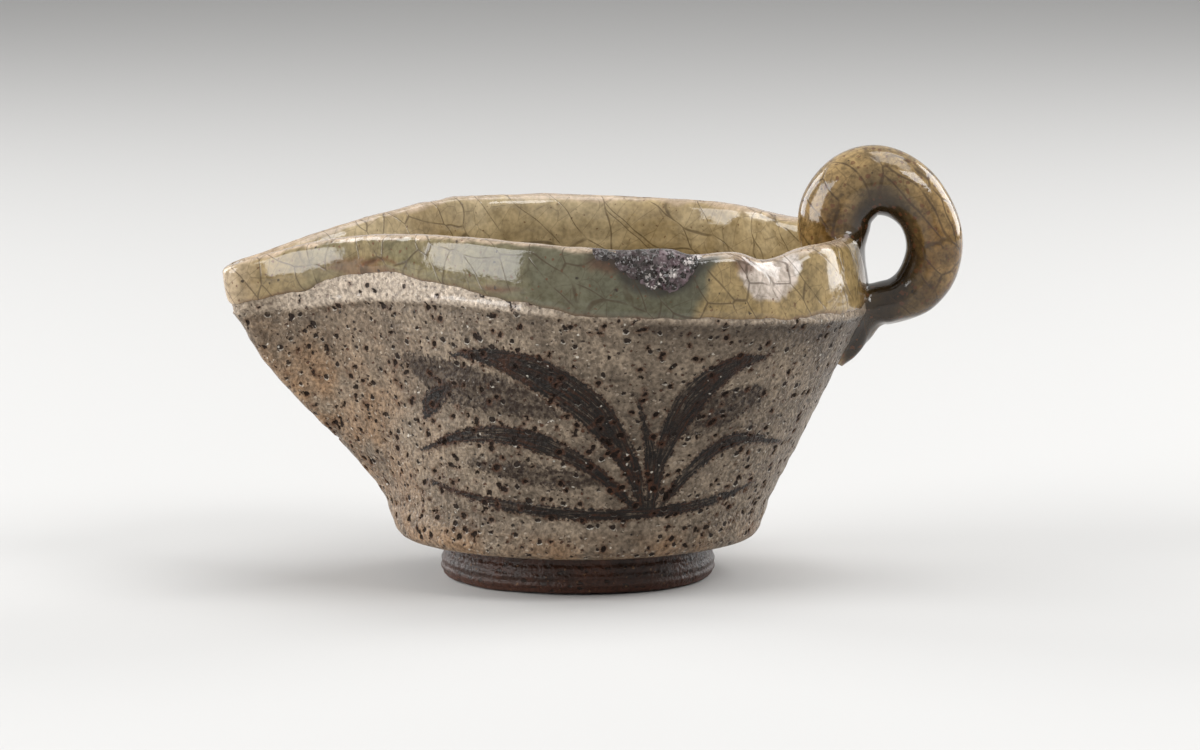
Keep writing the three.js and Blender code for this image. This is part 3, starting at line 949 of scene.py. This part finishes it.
def clay_material(colours):
    """Speckled clay under a thin ash glaze, with pits, iron brushwork, a pale lip, and painted glints,
    sheen and shade.
    """
    material, board, shader = start_material("speckled_clay")
    place = board.millimetres()
    ragged = board.noise(place, 1.3, 3.0) - 0.5
    patchy = board.mottle(3.2, 4.0)
    tone = (board.mottle(14.0, 3.0, 0.18) + patchy) * 0.5
    colour = board.mix(tone, colours.clay_light, colours.clay_dark)
    colour = colour.tint(board.field("warmth") * board.mottle(9.0), colours.clay_warm, 0.75)

    level = board.field("on_shoulder") + ragged * 1.2
    band = level.smooth(-1.2, 0.6)
    colour = colour.tint(band, colours.clay_sandy, 0.75)
    # Painted sheen: pale colour on the band under the glaze towards the beak, standing in for its
    # reflection; the same mask gives the band its coat
    sheen = board.field("sheen")
    colour = colour.tint(sheen * patchy.spread(0.85, 0.5), colours.pale_grains_and_painted_sheen)
    grain = board.mottle(0.9, 5.0, 0.24)
    colour = colour.shade(grain, (0.48, 0.47, 0.46), (1.38, 1.38, 1.38))
    pale = board.speckle(1.5, 0.3, 1.3)["Speck"]
    colour = colour.tint(pale, colours.pale_grains_and_painted_sheen, 0.5)
    dark = board.speckle(1.5, 0.3, 1.4)
    iron = board.mix(dark["Tone"] * 0.7, colours.iron, colours.rust)
    colour = colour.tint(dark["Speck"] * band.spread(0.9, 0.45), iron)
    # Painted shade on the wall below the shoulder
    colour = colour.tint(board.field("shade"), colours.iron_wash_and_painted_shade, 0.5)
    colour = paint_brushwork(board, colours, colour, place, ragged)

    # Holes are round on side a and torn sideways on side b, and each gets a painted highlight along its
    # lower rim
    _, y, _ = board.split(place)
    side = y.smooth(-6.0, 6.0)
    few = band.spread(1.0, 0.25)
    round_hole = board.speckle(2.6, 0.29, 1.15)
    torn_hole = board.speckle(2.6, 0.36, 2.1)
    on_a, on_b = few * (1.0 - side), few * side
    holes = round_hole["Speck"] * on_a + torn_hole["Speck"] * on_b
    lit = round_hole["Rim"] * on_a + torn_hole["Rim"] * on_b
    unpainted = board.field("stroke").smooth(-0.2, 0.6)
    colour = colour.tint(lit * patchy.spread(0.1, 0.85) * unpainted.spread(0.3, 1.0), colours.painted_glint)
    pit = board.field("pit") + ragged
    colour = colour.tint(pit.smooth(0.7, 0.1) * (patchy * 0.5), colours.rust)
    hollow = pit.smooth(0.1, -0.08).most(holes)
    colour = colour.tint(hollow, colours.pit, 0.96)
    # Scattered painted glints
    colour = colour.tint(board.speckle(2.6, 0.12)["Speck"], colours.painted_glint, 0.7)

    # Painted shade in the groove just below the shoulder ridge, stronger on side b
    groove_shade = level.smooth(-2.4, -1.5) * level.smooth(-0.4, -1.3)
    colour = colour.tint(groove_shade * side.spread(0.12, 0.3), colours.iron_wash_and_painted_shade)
    lip = (board.field("under_rim") + ragged * 1.8).smooth(1.5, 0.8)
    shine = board.field("over_edge").smooth(-5.0, -1.5).most(lip)
    relief = grain * 1.4 + pale * 0.9 - dark["Speck"] * 2.2 - hollow * 3.0
    board.dress(shader, {
        "Base Color": colour.tint(lip, colours.lip),
        "Roughness": grain.spread(0.42, 0.3) - shine * 0.14 + hollow * 0.3,
        "Coat Weight": (sheen * 0.9).most(lip) * (1.0 - hollow),
        "Coat Roughness": 0.12,
        "IOR": 1.27,
        "Normal": board.bump(relief, 0.2),
    })
    return material


def paint_brushwork(board, colours, colour, place, ragged):
    """Thin washes, and iron strokes with ragged rusty edges and the streaks of the bristles."""
    worn = board.mottle(1.1, 3.0, 0.14)
    wash = (board.field("wash") + ragged * 5.0).smooth(0.5, -0.5)
    colour = colour.tint(wash * worn.spread(0.95, 0.5), colours.iron_wash_and_painted_shade)
    distance = board.field("stroke")
    x, _, z = board.split(place)
    streak = board.noise(board.combine(distance * 2.0, x * 0.09, z * 0.09), 1.0)
    edge = distance + ragged * 2.4
    bleed = edge.smooth(0.8, 0.0) * worn.spread(0.2, 0.75)
    colour = colour.tint(bleed, scaled(colours.rust, 0.5))
    dry = streak.smooth(0.52, 0.64) * worn.spread(1.0, 0.3)
    full = edge.smooth(0.15, -0.1) * dry.spread(0.97, 0.45)
    rusty = streak.smooth(0.5, 0.38) * worn.spread(0.3, 0.9)
    return colour.tint(full, board.mix(rusty, colours.iron, scaled(colours.rust, 0.4)))


def glaze_material(name, colours, look):
    """Clear glossy ash glaze that pools olive, breaks amber where thin, and is crazed all over.

    look gives the two main tones and how far each reaches, the fields that a piece paints on itself,
    how mottled, flecked and pinholed the glaze is, the shape and stain of its cracks, and the field
    where it is dull, if there is one.
    """
    material, board, shader = start_material(name)
    colour = board.mix(board.mottle(look["drift"], 4.0, 0.16), look["first"], look["second"])
    fine = board.mottle(1.0, 4.0, 0.18)
    tone = (fine + board.mottle(3.6, 3.0, 0.16)) * 0.5
    for field, paint, level in look["fields"]:
        colour = colour.tint(board.field(field) * tone.spread(0.86 * level, level), paint)
    dark = scaled((1.0, 0.98, 0.92), 1 - look["mottle"])
    light = scaled((1.0, 1.0, 0.98), 1 + 0.8 * look["mottle"])
    colour = colour.shade(tone, dark, light)
    colour = colour.tint(board.speckle(1.5, look["flecks"])["Speck"], colours.rust, 0.7)
    colour = colour.tint(board.speckle(2.8, look["pinholes"], 1.1)["Speck"], colours.pit, 0.85)
    cell, slant, tall = look["cell"], look["slant"], look["tall"]
    crack = board.crackle(cell, look["line"], 4.0, slant, tall)
    small = board.crackle(cell / 2, 0.13, 2.5, -slant, tall)
    colour = colour.tint((crack * 0.8).most(small * 0.4), colours.crack, look["stain"])
    rough = fine.spread(0.05, 0.11)
    if look["dull"]:
        rough = rough + board.field(look["dull"]) * 0.22
    relief = board.mottle(5.0, 1.0, 0.5) * 0.6 - crack * 0.1 + fine * 0.05
    board.dress(shader, {
        "Base Color": colour,
        "Roughness": rough,
        "IOR": 1.52,
        "Normal": board.bump(relief, 0.16),
    })
    return material


def foot_material(colours):
    """Bare iron-rich clay at the sole, under a thin brown shine towards the bowl."""
    material, board, shader = start_material("foot_clay")
    cloud = board.mottle(6.0, 4.0)
    colour = board.mix(cloud, colours.foot_brown, colours.foot_red)
    _, _, height = board.split(board.millimetres())
    low = (height + cloud * 1.6).smooth(4.0, 1.2)
    colour = colour.tint(low, colours.foot_red)
    grain = board.mottle(0.8, 4.0, 0.3)
    colour = colour.shade(grain, (0.7, 0.7, 0.7), (1.3, 1.3, 1.3))
    dark = board.speckle(2.0, 0.42, 1.6)["Speck"]
    colour = colour.tint(dark, colours.pit, 0.8)
    board.dress(shader, {
        "Base Color": colour.tint(board.speckle(1.3, 0.24)["Speck"], colours.clay_warm, 0.3),
        "Roughness": grain.spread(0.28, 0.4) + low * 0.25,
        "IOR": 1.38,
        "Normal": board.bump(grain * 1.6 - dark * 1.6, 0.1),
    })
    return material


def crust_material(colours):
    """Half-melted grit: dark, knobbly and shiny, with clusters of pale grains that never melted."""
    material, board, shader = start_material("kiln_grit")
    cloud = board.mottle(2.2, 4.0, 0.08)
    grains = board.field("grains")
    colour = board.mix(cloud * grains.spread(0.2, 1.0), colours.crust_dark, colours.crust_purple)
    cluster = board.mottle(5.5, 2.0, 0.06)
    lilac = board.mottle(1.6, 2.0, 0.1) * (grains - cluster)
    colour = colour.tint(lilac, colours.crust_lilac, 0.36)
    pale = board.speckle(1.0, 0.72, 0.8)["Speck"] * (cluster.spread(0.1, 0.95) * grains)
    colour = colour.tint(pale, colours.crust_pale)
    hole = board.speckle(1.5, 0.6)["Speck"]
    board.dress(shader, {
        "Base Color": colour.tint(hole, colours.pit),
        "Roughness": cloud.spread(0.12, 0.34),
        "Normal": board.bump(pale * 0.8 - hole * 1.5, 0.4),
    })
    return material


# Colour fields of the collar

def patch(points, side, x, z, reach_x, reach_z, core=0.45):
    """A patch of colour at a place on one side, which is full over the core share of its reach."""
    spot = np.sqrt(((points[..., 0] - x) / reach_x) ** 2 + ((points[..., 2] - z) / reach_z) ** 2)
    spot = spot + 0.25 * noise(points, 4, 26) + 0.15 * noise(points, 1.5, 27)
    return smooth_step(1.0, core, spot) * (np.sign(points[..., 1]) == side)


def stain_of_crust(points, rim):
    """The dark halo in the glaze round the crust."""
    x, y, _ = axes(points)
    hang = smooth_line(CRUST_HANG)(x) + 1.4 * noise(points, 4, 38) + 0.7 * noise(points, 1.5, 39)
    return smooth_step(-2.6, 0.6, hang - rim) * window(x, -1, 6, 27, 31.5) * (y < 0)


def collar_fields(points, above):
    """Where the outer glaze is green, amber, rusty, stained, brown, thin or sandy, and where a pale
    reflection is painted in the dent.
    """
    x, y, z = axes(points)
    rim = rim_height(x, y) - z
    wander = 2.5 * noise(points, 5, 28)
    parting = x - 0.5 * (z - 68) + 0.9 * wander
    green_a = 0.45 * smooth_step(-72, -58, x + wander) + 0.55 * smooth_step(-24, -6, x + wander)
    green_a = green_a * smooth_step(29, 26.5, parting) * (y < 0)
    green_b = 0.7 * window(x + wander, 2, 14, 46, 58) * (y > 0)
    blush = np.maximum.reduce([
        patch(points, -1, 36, 74.5, 3.6, 2.8),
        patch(points, -1, 7, 75, 6, 3.2),
        patch(points, 1, 50, 72, 4, 5),
        patch(points, 1, -16, 70.5, 5, 2),
        patch(points, 1, -43, 71.5, 14, 3),
        0.8 * patch(points, -1, -47, 70, 8, 2.5),
    ])
    thin_lip = smooth_step(1.1, 0.4, rim + 0.6 * noise(points, 3, 30)) * smooth_step(60, 56, x)
    thin_tip = 0.6 * smooth_step(-66, -76, x + 0.6 * wander)
    rusty_edge = smooth_step(1.1, 0.1, above) * (0.6 + 0.4 * noise(points, 6, 29))
    rusty_line = hill(above - 2.4 - 1.6 * noise(points, 6, 40), 0.5)
    rusty_line *= smooth_step(-0.2, 0.3, noise(points, 3, 41)) * window(x, -62, -54, -16, -8) * (y < 0)
    return {
        "green": np.maximum(green_a, green_b),
        "amber": smooth_step(26, 28, parting) * smooth_step(66, 58, x) * (y < 0),
        "blush": blush,
        # bloom is a painted reflection: a pale patch in the dent beside the handle, where the dent
        # mirrors the lamps
        "bloom": patch(points, -1, 41, 72, 7, 6.8, 0.8),
        "edge": np.maximum(rusty_edge, rusty_line),
        "stain": stain_of_crust(points, rim),
        "root": smooth_step(60, 62, x + 0.2 * wander),
        "thin": np.maximum(thin_lip, thin_tip),
        "sand": smooth_step(5, 0.5, above + 2 * noise(points, 4, 31)) * smooth_step(18, 8, x) * (y > 0),
    }


# Settings that a user may change

def number(name, description, default, **limits):
    return FloatProperty(name=name, description=description, default=default, **limits)


def swatch(name, description, default):
    return FloatVectorProperty(
        name=name, description=description, default=default, subtype="COLOR", size=3, min=0, max=1
    )


class BowlShape(bpy.types.PropertyGroup):
    """Sizes of the surfaces, in millimetres."""

    columns: IntProperty(name="Columns", description="Points round the mouth", default=620, min=80)
    row_spacing: number("Row spacing", "Height of one row of the wall, in mm", 0.62, min=0.3)
    pit_count: IntProperty(name="Pits", description="Large pits in the wall", default=1600, min=0)
    pit_depth: number("Pit depth", "Depth of a deep pit, in mm", 0.65, min=0)
    glaze_thickness: number("Glaze thickness", "How far a coat stands proud, in mm", 0.28, min=0)
    edge_bead: number("Edge bead", "Extra glaze at the lower edge, in mm", 0.3, min=0)
    coil_lumps: number("Coil lumps", "Strength of the finger dents in the handle", 1.0, min=0)
    blend_reach: number("Blend", "Radius where the handle meets the bowl, in mm", 2.4, min=0.1)


class BowlColours(bpy.types.PropertyGroup):
    """Colours of the clays and glazes."""

    clay_light: swatch("Clay", "Speckled clay where it is light", (0.3, 0.235, 0.17))
    clay_dark: swatch("Clay shade", "Speckled clay where it is dark", (0.11, 0.083, 0.06))
    clay_warm: swatch("Clay flash", "Clay flashed orange by the fire", (0.36, 0.2, 0.095))
    # This colour is also the painted sheen on the band under the glaze
    pale_grains_and_painted_sheen: swatch("Clay grains", "Pale grains, and the painted sheen", (0.55, 0.45, 0.35))
    clay_sandy: swatch("Sandy band", "Clay between the shoulder and the glaze", (0.4, 0.32, 0.24))
    # Painted highlights: this colour is laid on the clay as glints
    painted_glint: swatch("Painted glints", "Pale spots painted as glints on the clay", (0.78, 0.72, 0.62))
    pit: swatch("Pit", "The inside of the pits", (0.016, 0.009, 0.006))
    # Iron also paints the shade round the handle's hole
    iron: swatch("Iron", "Iron spots, full brush strokes and painted shade in the handle", (0.008, 0.006, 0.005))
    # This colour also paints shade on the clay
    iron_wash_and_painted_shade: swatch("Iron wash", "Thin brush strokes, and painted shade", (0.022, 0.012, 0.008))
    rust: swatch("Rust", "Rusty spots and edges", (0.12, 0.045, 0.02))
    lip: swatch("Lip", "Thin glaze on the lip", (0.55, 0.42, 0.31))
    glaze_olive: swatch("Olive glaze", "Glaze of common thickness", (0.22, 0.175, 0.08))
    glaze_green: swatch("Green glaze", "Glaze where it pools", (0.1, 0.1, 0.068))
    glaze_amber: swatch("Amber glaze", "Glaze where it breaks", (0.34, 0.24, 0.11))
    glaze_light: swatch("Light glaze", "Glaze high inside the bowl", (0.56, 0.445, 0.27))
    glaze_honey: swatch("Honey glaze", "Lighter glaze of the handle", (0.29, 0.18, 0.068))
    glaze_brown: swatch("Brown glaze", "Glaze of the handle", (0.15, 0.08, 0.024))
    # A painted reflection, laid as a pale patch in the dent
    bloom: swatch("Dent reflection", "Pale painted reflection in the dent", (0.66, 0.58, 0.55))
    crack: swatch("Cracks", "Lines of the crackle", (0.05, 0.028, 0.012))
    foot_brown: swatch("Foot shine", "Foot under thin glaze", (0.022, 0.01, 0.006))
    foot_red: swatch("Foot clay", "Bare clay of the foot", (0.06, 0.022, 0.012))
    crust_dark: swatch("Crust", "Melted part of the crust", (0.022, 0.018, 0.014))
    crust_purple: swatch("Crust sheen", "Purple part of the crust", (0.085, 0.052, 0.058))
    crust_lilac: swatch("Crust bloom", "Lilac bloom on the crust", (0.33, 0.24, 0.26))
    crust_pale: swatch("Crust grains", "Grains that never melted", (0.62, 0.56, 0.53))


class BowlStudio(bpy.types.PropertyGroup):
    """Camera, lamps and floor."""

    distance: number("Distance", "Camera to bowl", 1.5, unit="LENGTH")
    height: number("Height", "Camera above the table", 0.2477, unit="LENGTH")
    focal_length: number("Focal length", "Lens, in mm", 208.0, unit="CAMERA")
    aim_height: number("Aim", "Height looked at", 0.044, unit="LENGTH")
    left: number("Left", "Softbox at the front left", 14.0, unit="POWER")
    right: number("Right", "Softbox at the front right", 7.0, unit="POWER")
    back: number("Back", "Each of the two softboxes behind", 8.0, unit="POWER")
    top: number("Top", "Softbox overhead", 11.0, unit="POWER")
    sky: number("Sky", "Light from all round", 0.22, min=0)
    floor: swatch("Floor", "Colour of the floor and of what is behind it", (0.66, 0.655, 0.645))


# Operators

class BOWL_OT_effects(bpy.types.Operator):
    """Build the shader groups that the clays and glazes share"""

    bl_idname = "bowl.effects"
    bl_label = "Shared effects"

    def execute(self, context):
        build_mottle_group()
        build_speckle_group()
        build_crackle_group()
        return {"FINISHED"}


class BOWL_OT_body(bpy.types.Operator):
    """Throw the speckled bowl with its pits, creases and brushwork"""

    bl_idname = "bowl.body"
    bl_label = "Bowl body"

    def execute(self, context):
        grid, fields = body_grid(context.scene.bowl_shape)
        points, faces = capped(grid)
        material = clay_material(context.scene.bowl_colours)
        add_piece("thrown_bowl", points, faces, material, "bowl_body", fields)
        return {"FINISHED"}


class BOWL_OT_collar(bpy.types.Operator):
    """Lay the outer glaze on the collar"""

    bl_idname = "bowl.collar"
    bl_label = "Collar glaze"

    def execute(self, context):
        front, back, above = collar_grid(context.scene.bowl_shape)
        colours = context.scene.bowl_colours
        grid = np.concatenate([front, back[::-1]])
        material = glaze_material("collar_glaze", colours, {
            "first": colours.glaze_olive, "second": colours.glaze_amber, "drift": 16.0,
            "fields": [
                ("green", colours.glaze_green, 0.95),
                ("amber", colours.glaze_amber, 0.9),
                ("root", colours.glaze_brown, 0.9),
                ("sand", colours.clay_sandy, 0.9),
                # bloom: the painted reflection in the dent
                ("bloom", colours.bloom, 0.75),
                ("blush", colours.rust, 0.75),
                ("edge", colours.rust, 0.8),
                ("stain", colours.crust_dark, 0.85),
                ("thin", colours.lip, 0.9),
            ],
            "mottle": 0.38, "flecks": 0.24, "pinholes": 0.14, "dull": "sand",
            "cell": 9.0, "line": 0.22, "slant": 0.6, "tall": 1.5, "stain": 0.8,
        })
        points, faces = grid.reshape(-1, 3), ring_faces(*grid.shape[:2], joined=True)
        fields = collar_fields(front, above)
        add_piece("collar_coat", points, faces, material, "collar_glaze", fields)
        return {"FINISHED"}


class BOWL_OT_lining(bpy.types.Operator):
    """Pour the inner glaze"""

    bl_idname = "bowl.lining"
    bl_label = "Lining glaze"

    def execute(self, context):
        front, back = lining_grid(context.scene.bowl_shape)
        colours = context.scene.bowl_colours
        points, faces = capped(np.concatenate([back[::-1], front]))
        x, y, z = axes(points)
        fields = {
            "thin": smooth_step(1.3, 0.5, rim_height(x, y) - z + 0.7 * noise(points, 3, 32)),
            "pool": smooth_step(44, 18, z),
            "green": smooth_step(4, -6, y + 4 * noise(points, 12, 42)),
        }
        material = glaze_material("lining_glaze", colours, {
            "first": colours.glaze_light, "second": colours.glaze_amber, "drift": 22.0,
            "fields": [
                ("green", colours.glaze_olive, 0.75),
                ("pool", colours.glaze_green, 0.75),
                ("thin", colours.lip, 0.9),
            ],
            "mottle": 0.3, "flecks": 0.16, "pinholes": 0.05, "dull": "",
            "cell": 9.5, "line": 0.2, "slant": 0.8, "tall": 2.0, "stain": 0.75,
        })
        add_piece("lining_coat", points, faces, material, "lining_glaze", fields)
        return {"FINISHED"}


class BOWL_OT_handle(bpy.types.Operator):
    """Coil the handle and blend it into the rim and the wall"""

    bl_idname = "bowl.handle"
    bl_label = "Coiled handle"

    def execute(self, context):
        shape = context.scene.bowl_shape
        colours = context.scene.bowl_colours
        bowl_points, bowl_faces = capped(body_grid(shape)[0][:, ::2])
        grid, normals = handle_grid(shape)
        grid = blend_to_bowl(grid, normals, bowl_points, bowl_faces, shape.blend_reach)
        points, faces = capped(grid)
        x, y, z = axes(points)
        wander = 3 * noise(points, 5, 34)
        across = (x - HANDLE_HOLE["x"]) / HANDLE_HOLE["half_width"]
        to_hole = np.hypot(across, (z - HANDLE_HOLE["z"]) / HANDLE_HOLE["half_height"])
        # The hole field paints shade round the hole, and darkens the coil outside the bowl towards its
        # lower end
        inner = smooth_step(2.5, 1.25, to_hole + 0.12 * wander)
        low = smooth_step(69, 60, z + 0.7 * wander) * (0.55 + 0.45 * smooth_step(73, 64, x + wander))
        fields = {
            "crown": smooth_step(76, 90, z + wander),
            "hole": np.maximum(low * smooth_step(56, 59, x), inner),
            "bare": smooth_step(59, 54, z + 0.5 * wander) * smooth_step(-1.5, 2.5, y + 0.5 * wander),
        }
        material = glaze_material("handle_glaze", colours, {
            "first": colours.glaze_brown, "second": colours.glaze_honey, "drift": 7.0,
            "fields": [
                ("crown", colours.glaze_amber, 0.6),
                # Painted shade round the hole, and the darker lower coil
                ("hole", colours.iron, 0.94),
                ("bare", colours.clay_sandy, 0.75),
            ],
            "mottle": 0.6, "flecks": 0.4, "pinholes": 0.1, "dull": "",
            "cell": 8.0, "line": 0.34, "slant": 0.6, "tall": 1.5, "stain": 0.9,
        })
        add_piece("coiled_handle", points, faces, material, "loop_handle", fields)
        return {"FINISHED"}


class BOWL_OT_foot(bpy.types.Operator):
    """Turn the foot ring"""

    bl_idname = "bowl.foot"
    bl_label = "Foot ring"

    def execute(self, context):
        grid = foot_grid(FOOT_COLUMNS)
        faces = ring_faces(*grid.shape[:2], joined=True)
        material = foot_material(context.scene.bowl_colours)
        add_piece("turned_foot", grid.reshape(-1, 3), faces, material, "foot_ring")
        return {"FINISHED"}


class BOWL_OT_crust(bpy.types.Operator):
    """Fuse the crust of kiln grit to the collar"""

    bl_idname = "bowl.crust"
    bl_label = "Kiln crust"

    def execute(self, context):
        points, faces = slab(*crust_grid(context.scene.bowl_shape))
        fields = {"grains": 0.25 + 0.75 * smooth_step(9, 19, points[:, 0] + 4 * noise(points, 5, 44))}
        material = crust_material(context.scene.bowl_colours)
        add_piece("grit_crust", points, faces, material, "kiln_crust", fields)
        return {"FINISHED"}


def add_softbox(name, place, power, size):
    """A rectangular lamp that looks at the middle of the bowl."""
    lamp = bpy.data.lights.new(name, "AREA")
    lamp.shape = "RECTANGLE"
    lamp.size, lamp.size_y = size
    lamp.energy = power
    softbox = bpy.data.objects.new(name, lamp)
    softbox.location = place
    softbox.rotation_euler = (Vector(LAMP_AIM) - Vector(place)).to_track_quat("-Z", "Y").to_euler()
    bpy.context.scene.collection.objects.link(softbox)


class BOWL_OT_studio(bpy.types.Operator):
    """Set the floor, the soft lamps, the world and the camera"""

    bl_idname = "bowl.studio"
    bl_label = "Studio"

    def execute(self, context):
        scene = context.scene
        studio = scene.bowl_studio
        mesh = bpy.data.meshes.new("floor")
        signs = [(-1, -1), (1, -1), (1, 1), (-1, 1)]
        corners = [(x * FLOOR_REACH, y * FLOOR_REACH, 0) for x, y in signs]
        mesh.from_pydata(corners, [], [(0, 1, 2, 3)])
        floor_material, board, shader = start_material("floor_paint")
        board.dress(shader, {"Base Color": studio.floor, "Roughness": 0.85})
        mesh.materials.append(floor_material)
        floor = bpy.data.objects.new("floor", mesh)
        scene.collection.objects.link(floor)
        add_softbox("left_softbox", (-1.12, -0.45, 0.48), studio.left, (0.92, 0.88))
        add_softbox("right_softbox", (0.92, -0.5, 0.94), studio.right, (0.62, 0.46))
        for side in (-1, 1):
            add_softbox("back_softbox", (0.98 * side, 0.69, 0.44), studio.back, (0.66, 0.8))
        add_softbox("top_softbox", (0.5, 0.1, 1.5), studio.top, (1.3, 0.9))
        self.light_world(scene, studio)
        camera = bpy.data.objects.new("camera", bpy.data.cameras.new("camera"))
        camera.data.lens = studio.focal_length
        camera.data.clip_end = 50.0
        camera.location = (CAMERA_X, -studio.distance, studio.height)
        aim = Vector((CAMERA_X, 0.0, studio.aim_height))
        camera.rotation_euler = (aim - camera.location).to_track_quat("-Z", "Y").to_euler()
        scene.collection.objects.link(camera)
        scene.camera = camera
        scene.view_settings.view_transform = "Standard"
        return {"FINISHED"}

    def light_world(self, scene, studio):
        """The world lights the bowl softly, and looks pale where it is seen or mirrored."""
        world = bpy.data.worlds.new("studio")
        world.use_nodes = True
        board = Board(world.node_tree)
        lit = world.node_tree.nodes["Background"]
        board.dress(lit, {"Color": (1, 1, 1), "Strength": studio.sky})
        seen = board.read("ShaderNodeBackground", 0, {"Color": studio.floor})
        path = board.read_all("ShaderNodeLightPath", {})
        shown = path["Is Camera Ray"].most(path["Is Glossy Ray"]).most(path["Is Transmission Ray"])
        sockets = {0: shown, 1: Value(board, lit.outputs[0]), 2: seen}
        mixed = board.read("ShaderNodeMixShader", 0, sockets)
        board.put(mixed, world.node_tree.nodes["World Output"].inputs["Surface"])
        scene.world = world


class BOWL_PT_panel(bpy.types.Panel):
    """Lists the pieces of the bowl and its settings"""

    bl_idname = "BOWL_PT_panel"
    bl_label = "Pouring Bowl"
    bl_space_type = "VIEW_3D"
    bl_region_type = "UI"
    bl_category = "Pouring Bowl"

    def draw(self, context):
        layout = self.layout
        for operator in OPERATORS:
            layout.operator(operator.bl_idname)
        scene = context.scene
        for settings in (scene.bowl_shape, scene.bowl_colours, scene.bowl_studio):
            box = layout.box()
            for name in settings.bl_rna.properties.keys():
                if name not in ("rna_type", "name"):
                    box.prop(settings, name)


OPERATORS = [
    BOWL_OT_effects,
    BOWL_OT_studio,
    BOWL_OT_body,
    BOWL_OT_collar,
    BOWL_OT_lining,
    BOWL_OT_handle,
    BOWL_OT_foot,
    BOWL_OT_crust,
]
GROUPS = {"bowl_shape": BowlShape, "bowl_colours": BowlColours, "bowl_studio": BowlStudio}


def register():
    for group in (*GROUPS.values(), *OPERATORS, BOWL_PT_panel):
        bpy.utils.register_class(group)
    for name, group in GROUPS.items():
        setattr(bpy.types.Scene, name, PointerProperty(type=group))


def unregister():
    for name in GROUPS:
        delattr(bpy.types.Scene, name)
    for group in (BOWL_PT_panel, *reversed(OPERATORS), *reversed(GROUPS.values())):
        bpy.utils.unregister_class(group)


def main():
    register()
    bpy.ops.bowl.effects()
    bpy.ops.bowl.studio()
    bpy.ops.bowl.body()
    bpy.ops.bowl.collar()
    bpy.ops.bowl.lining()
    bpy.ops.bowl.handle()
    bpy.ops.bowl.foot()
    bpy.ops.bowl.crust()


if __name__ == "__main__":
    main()
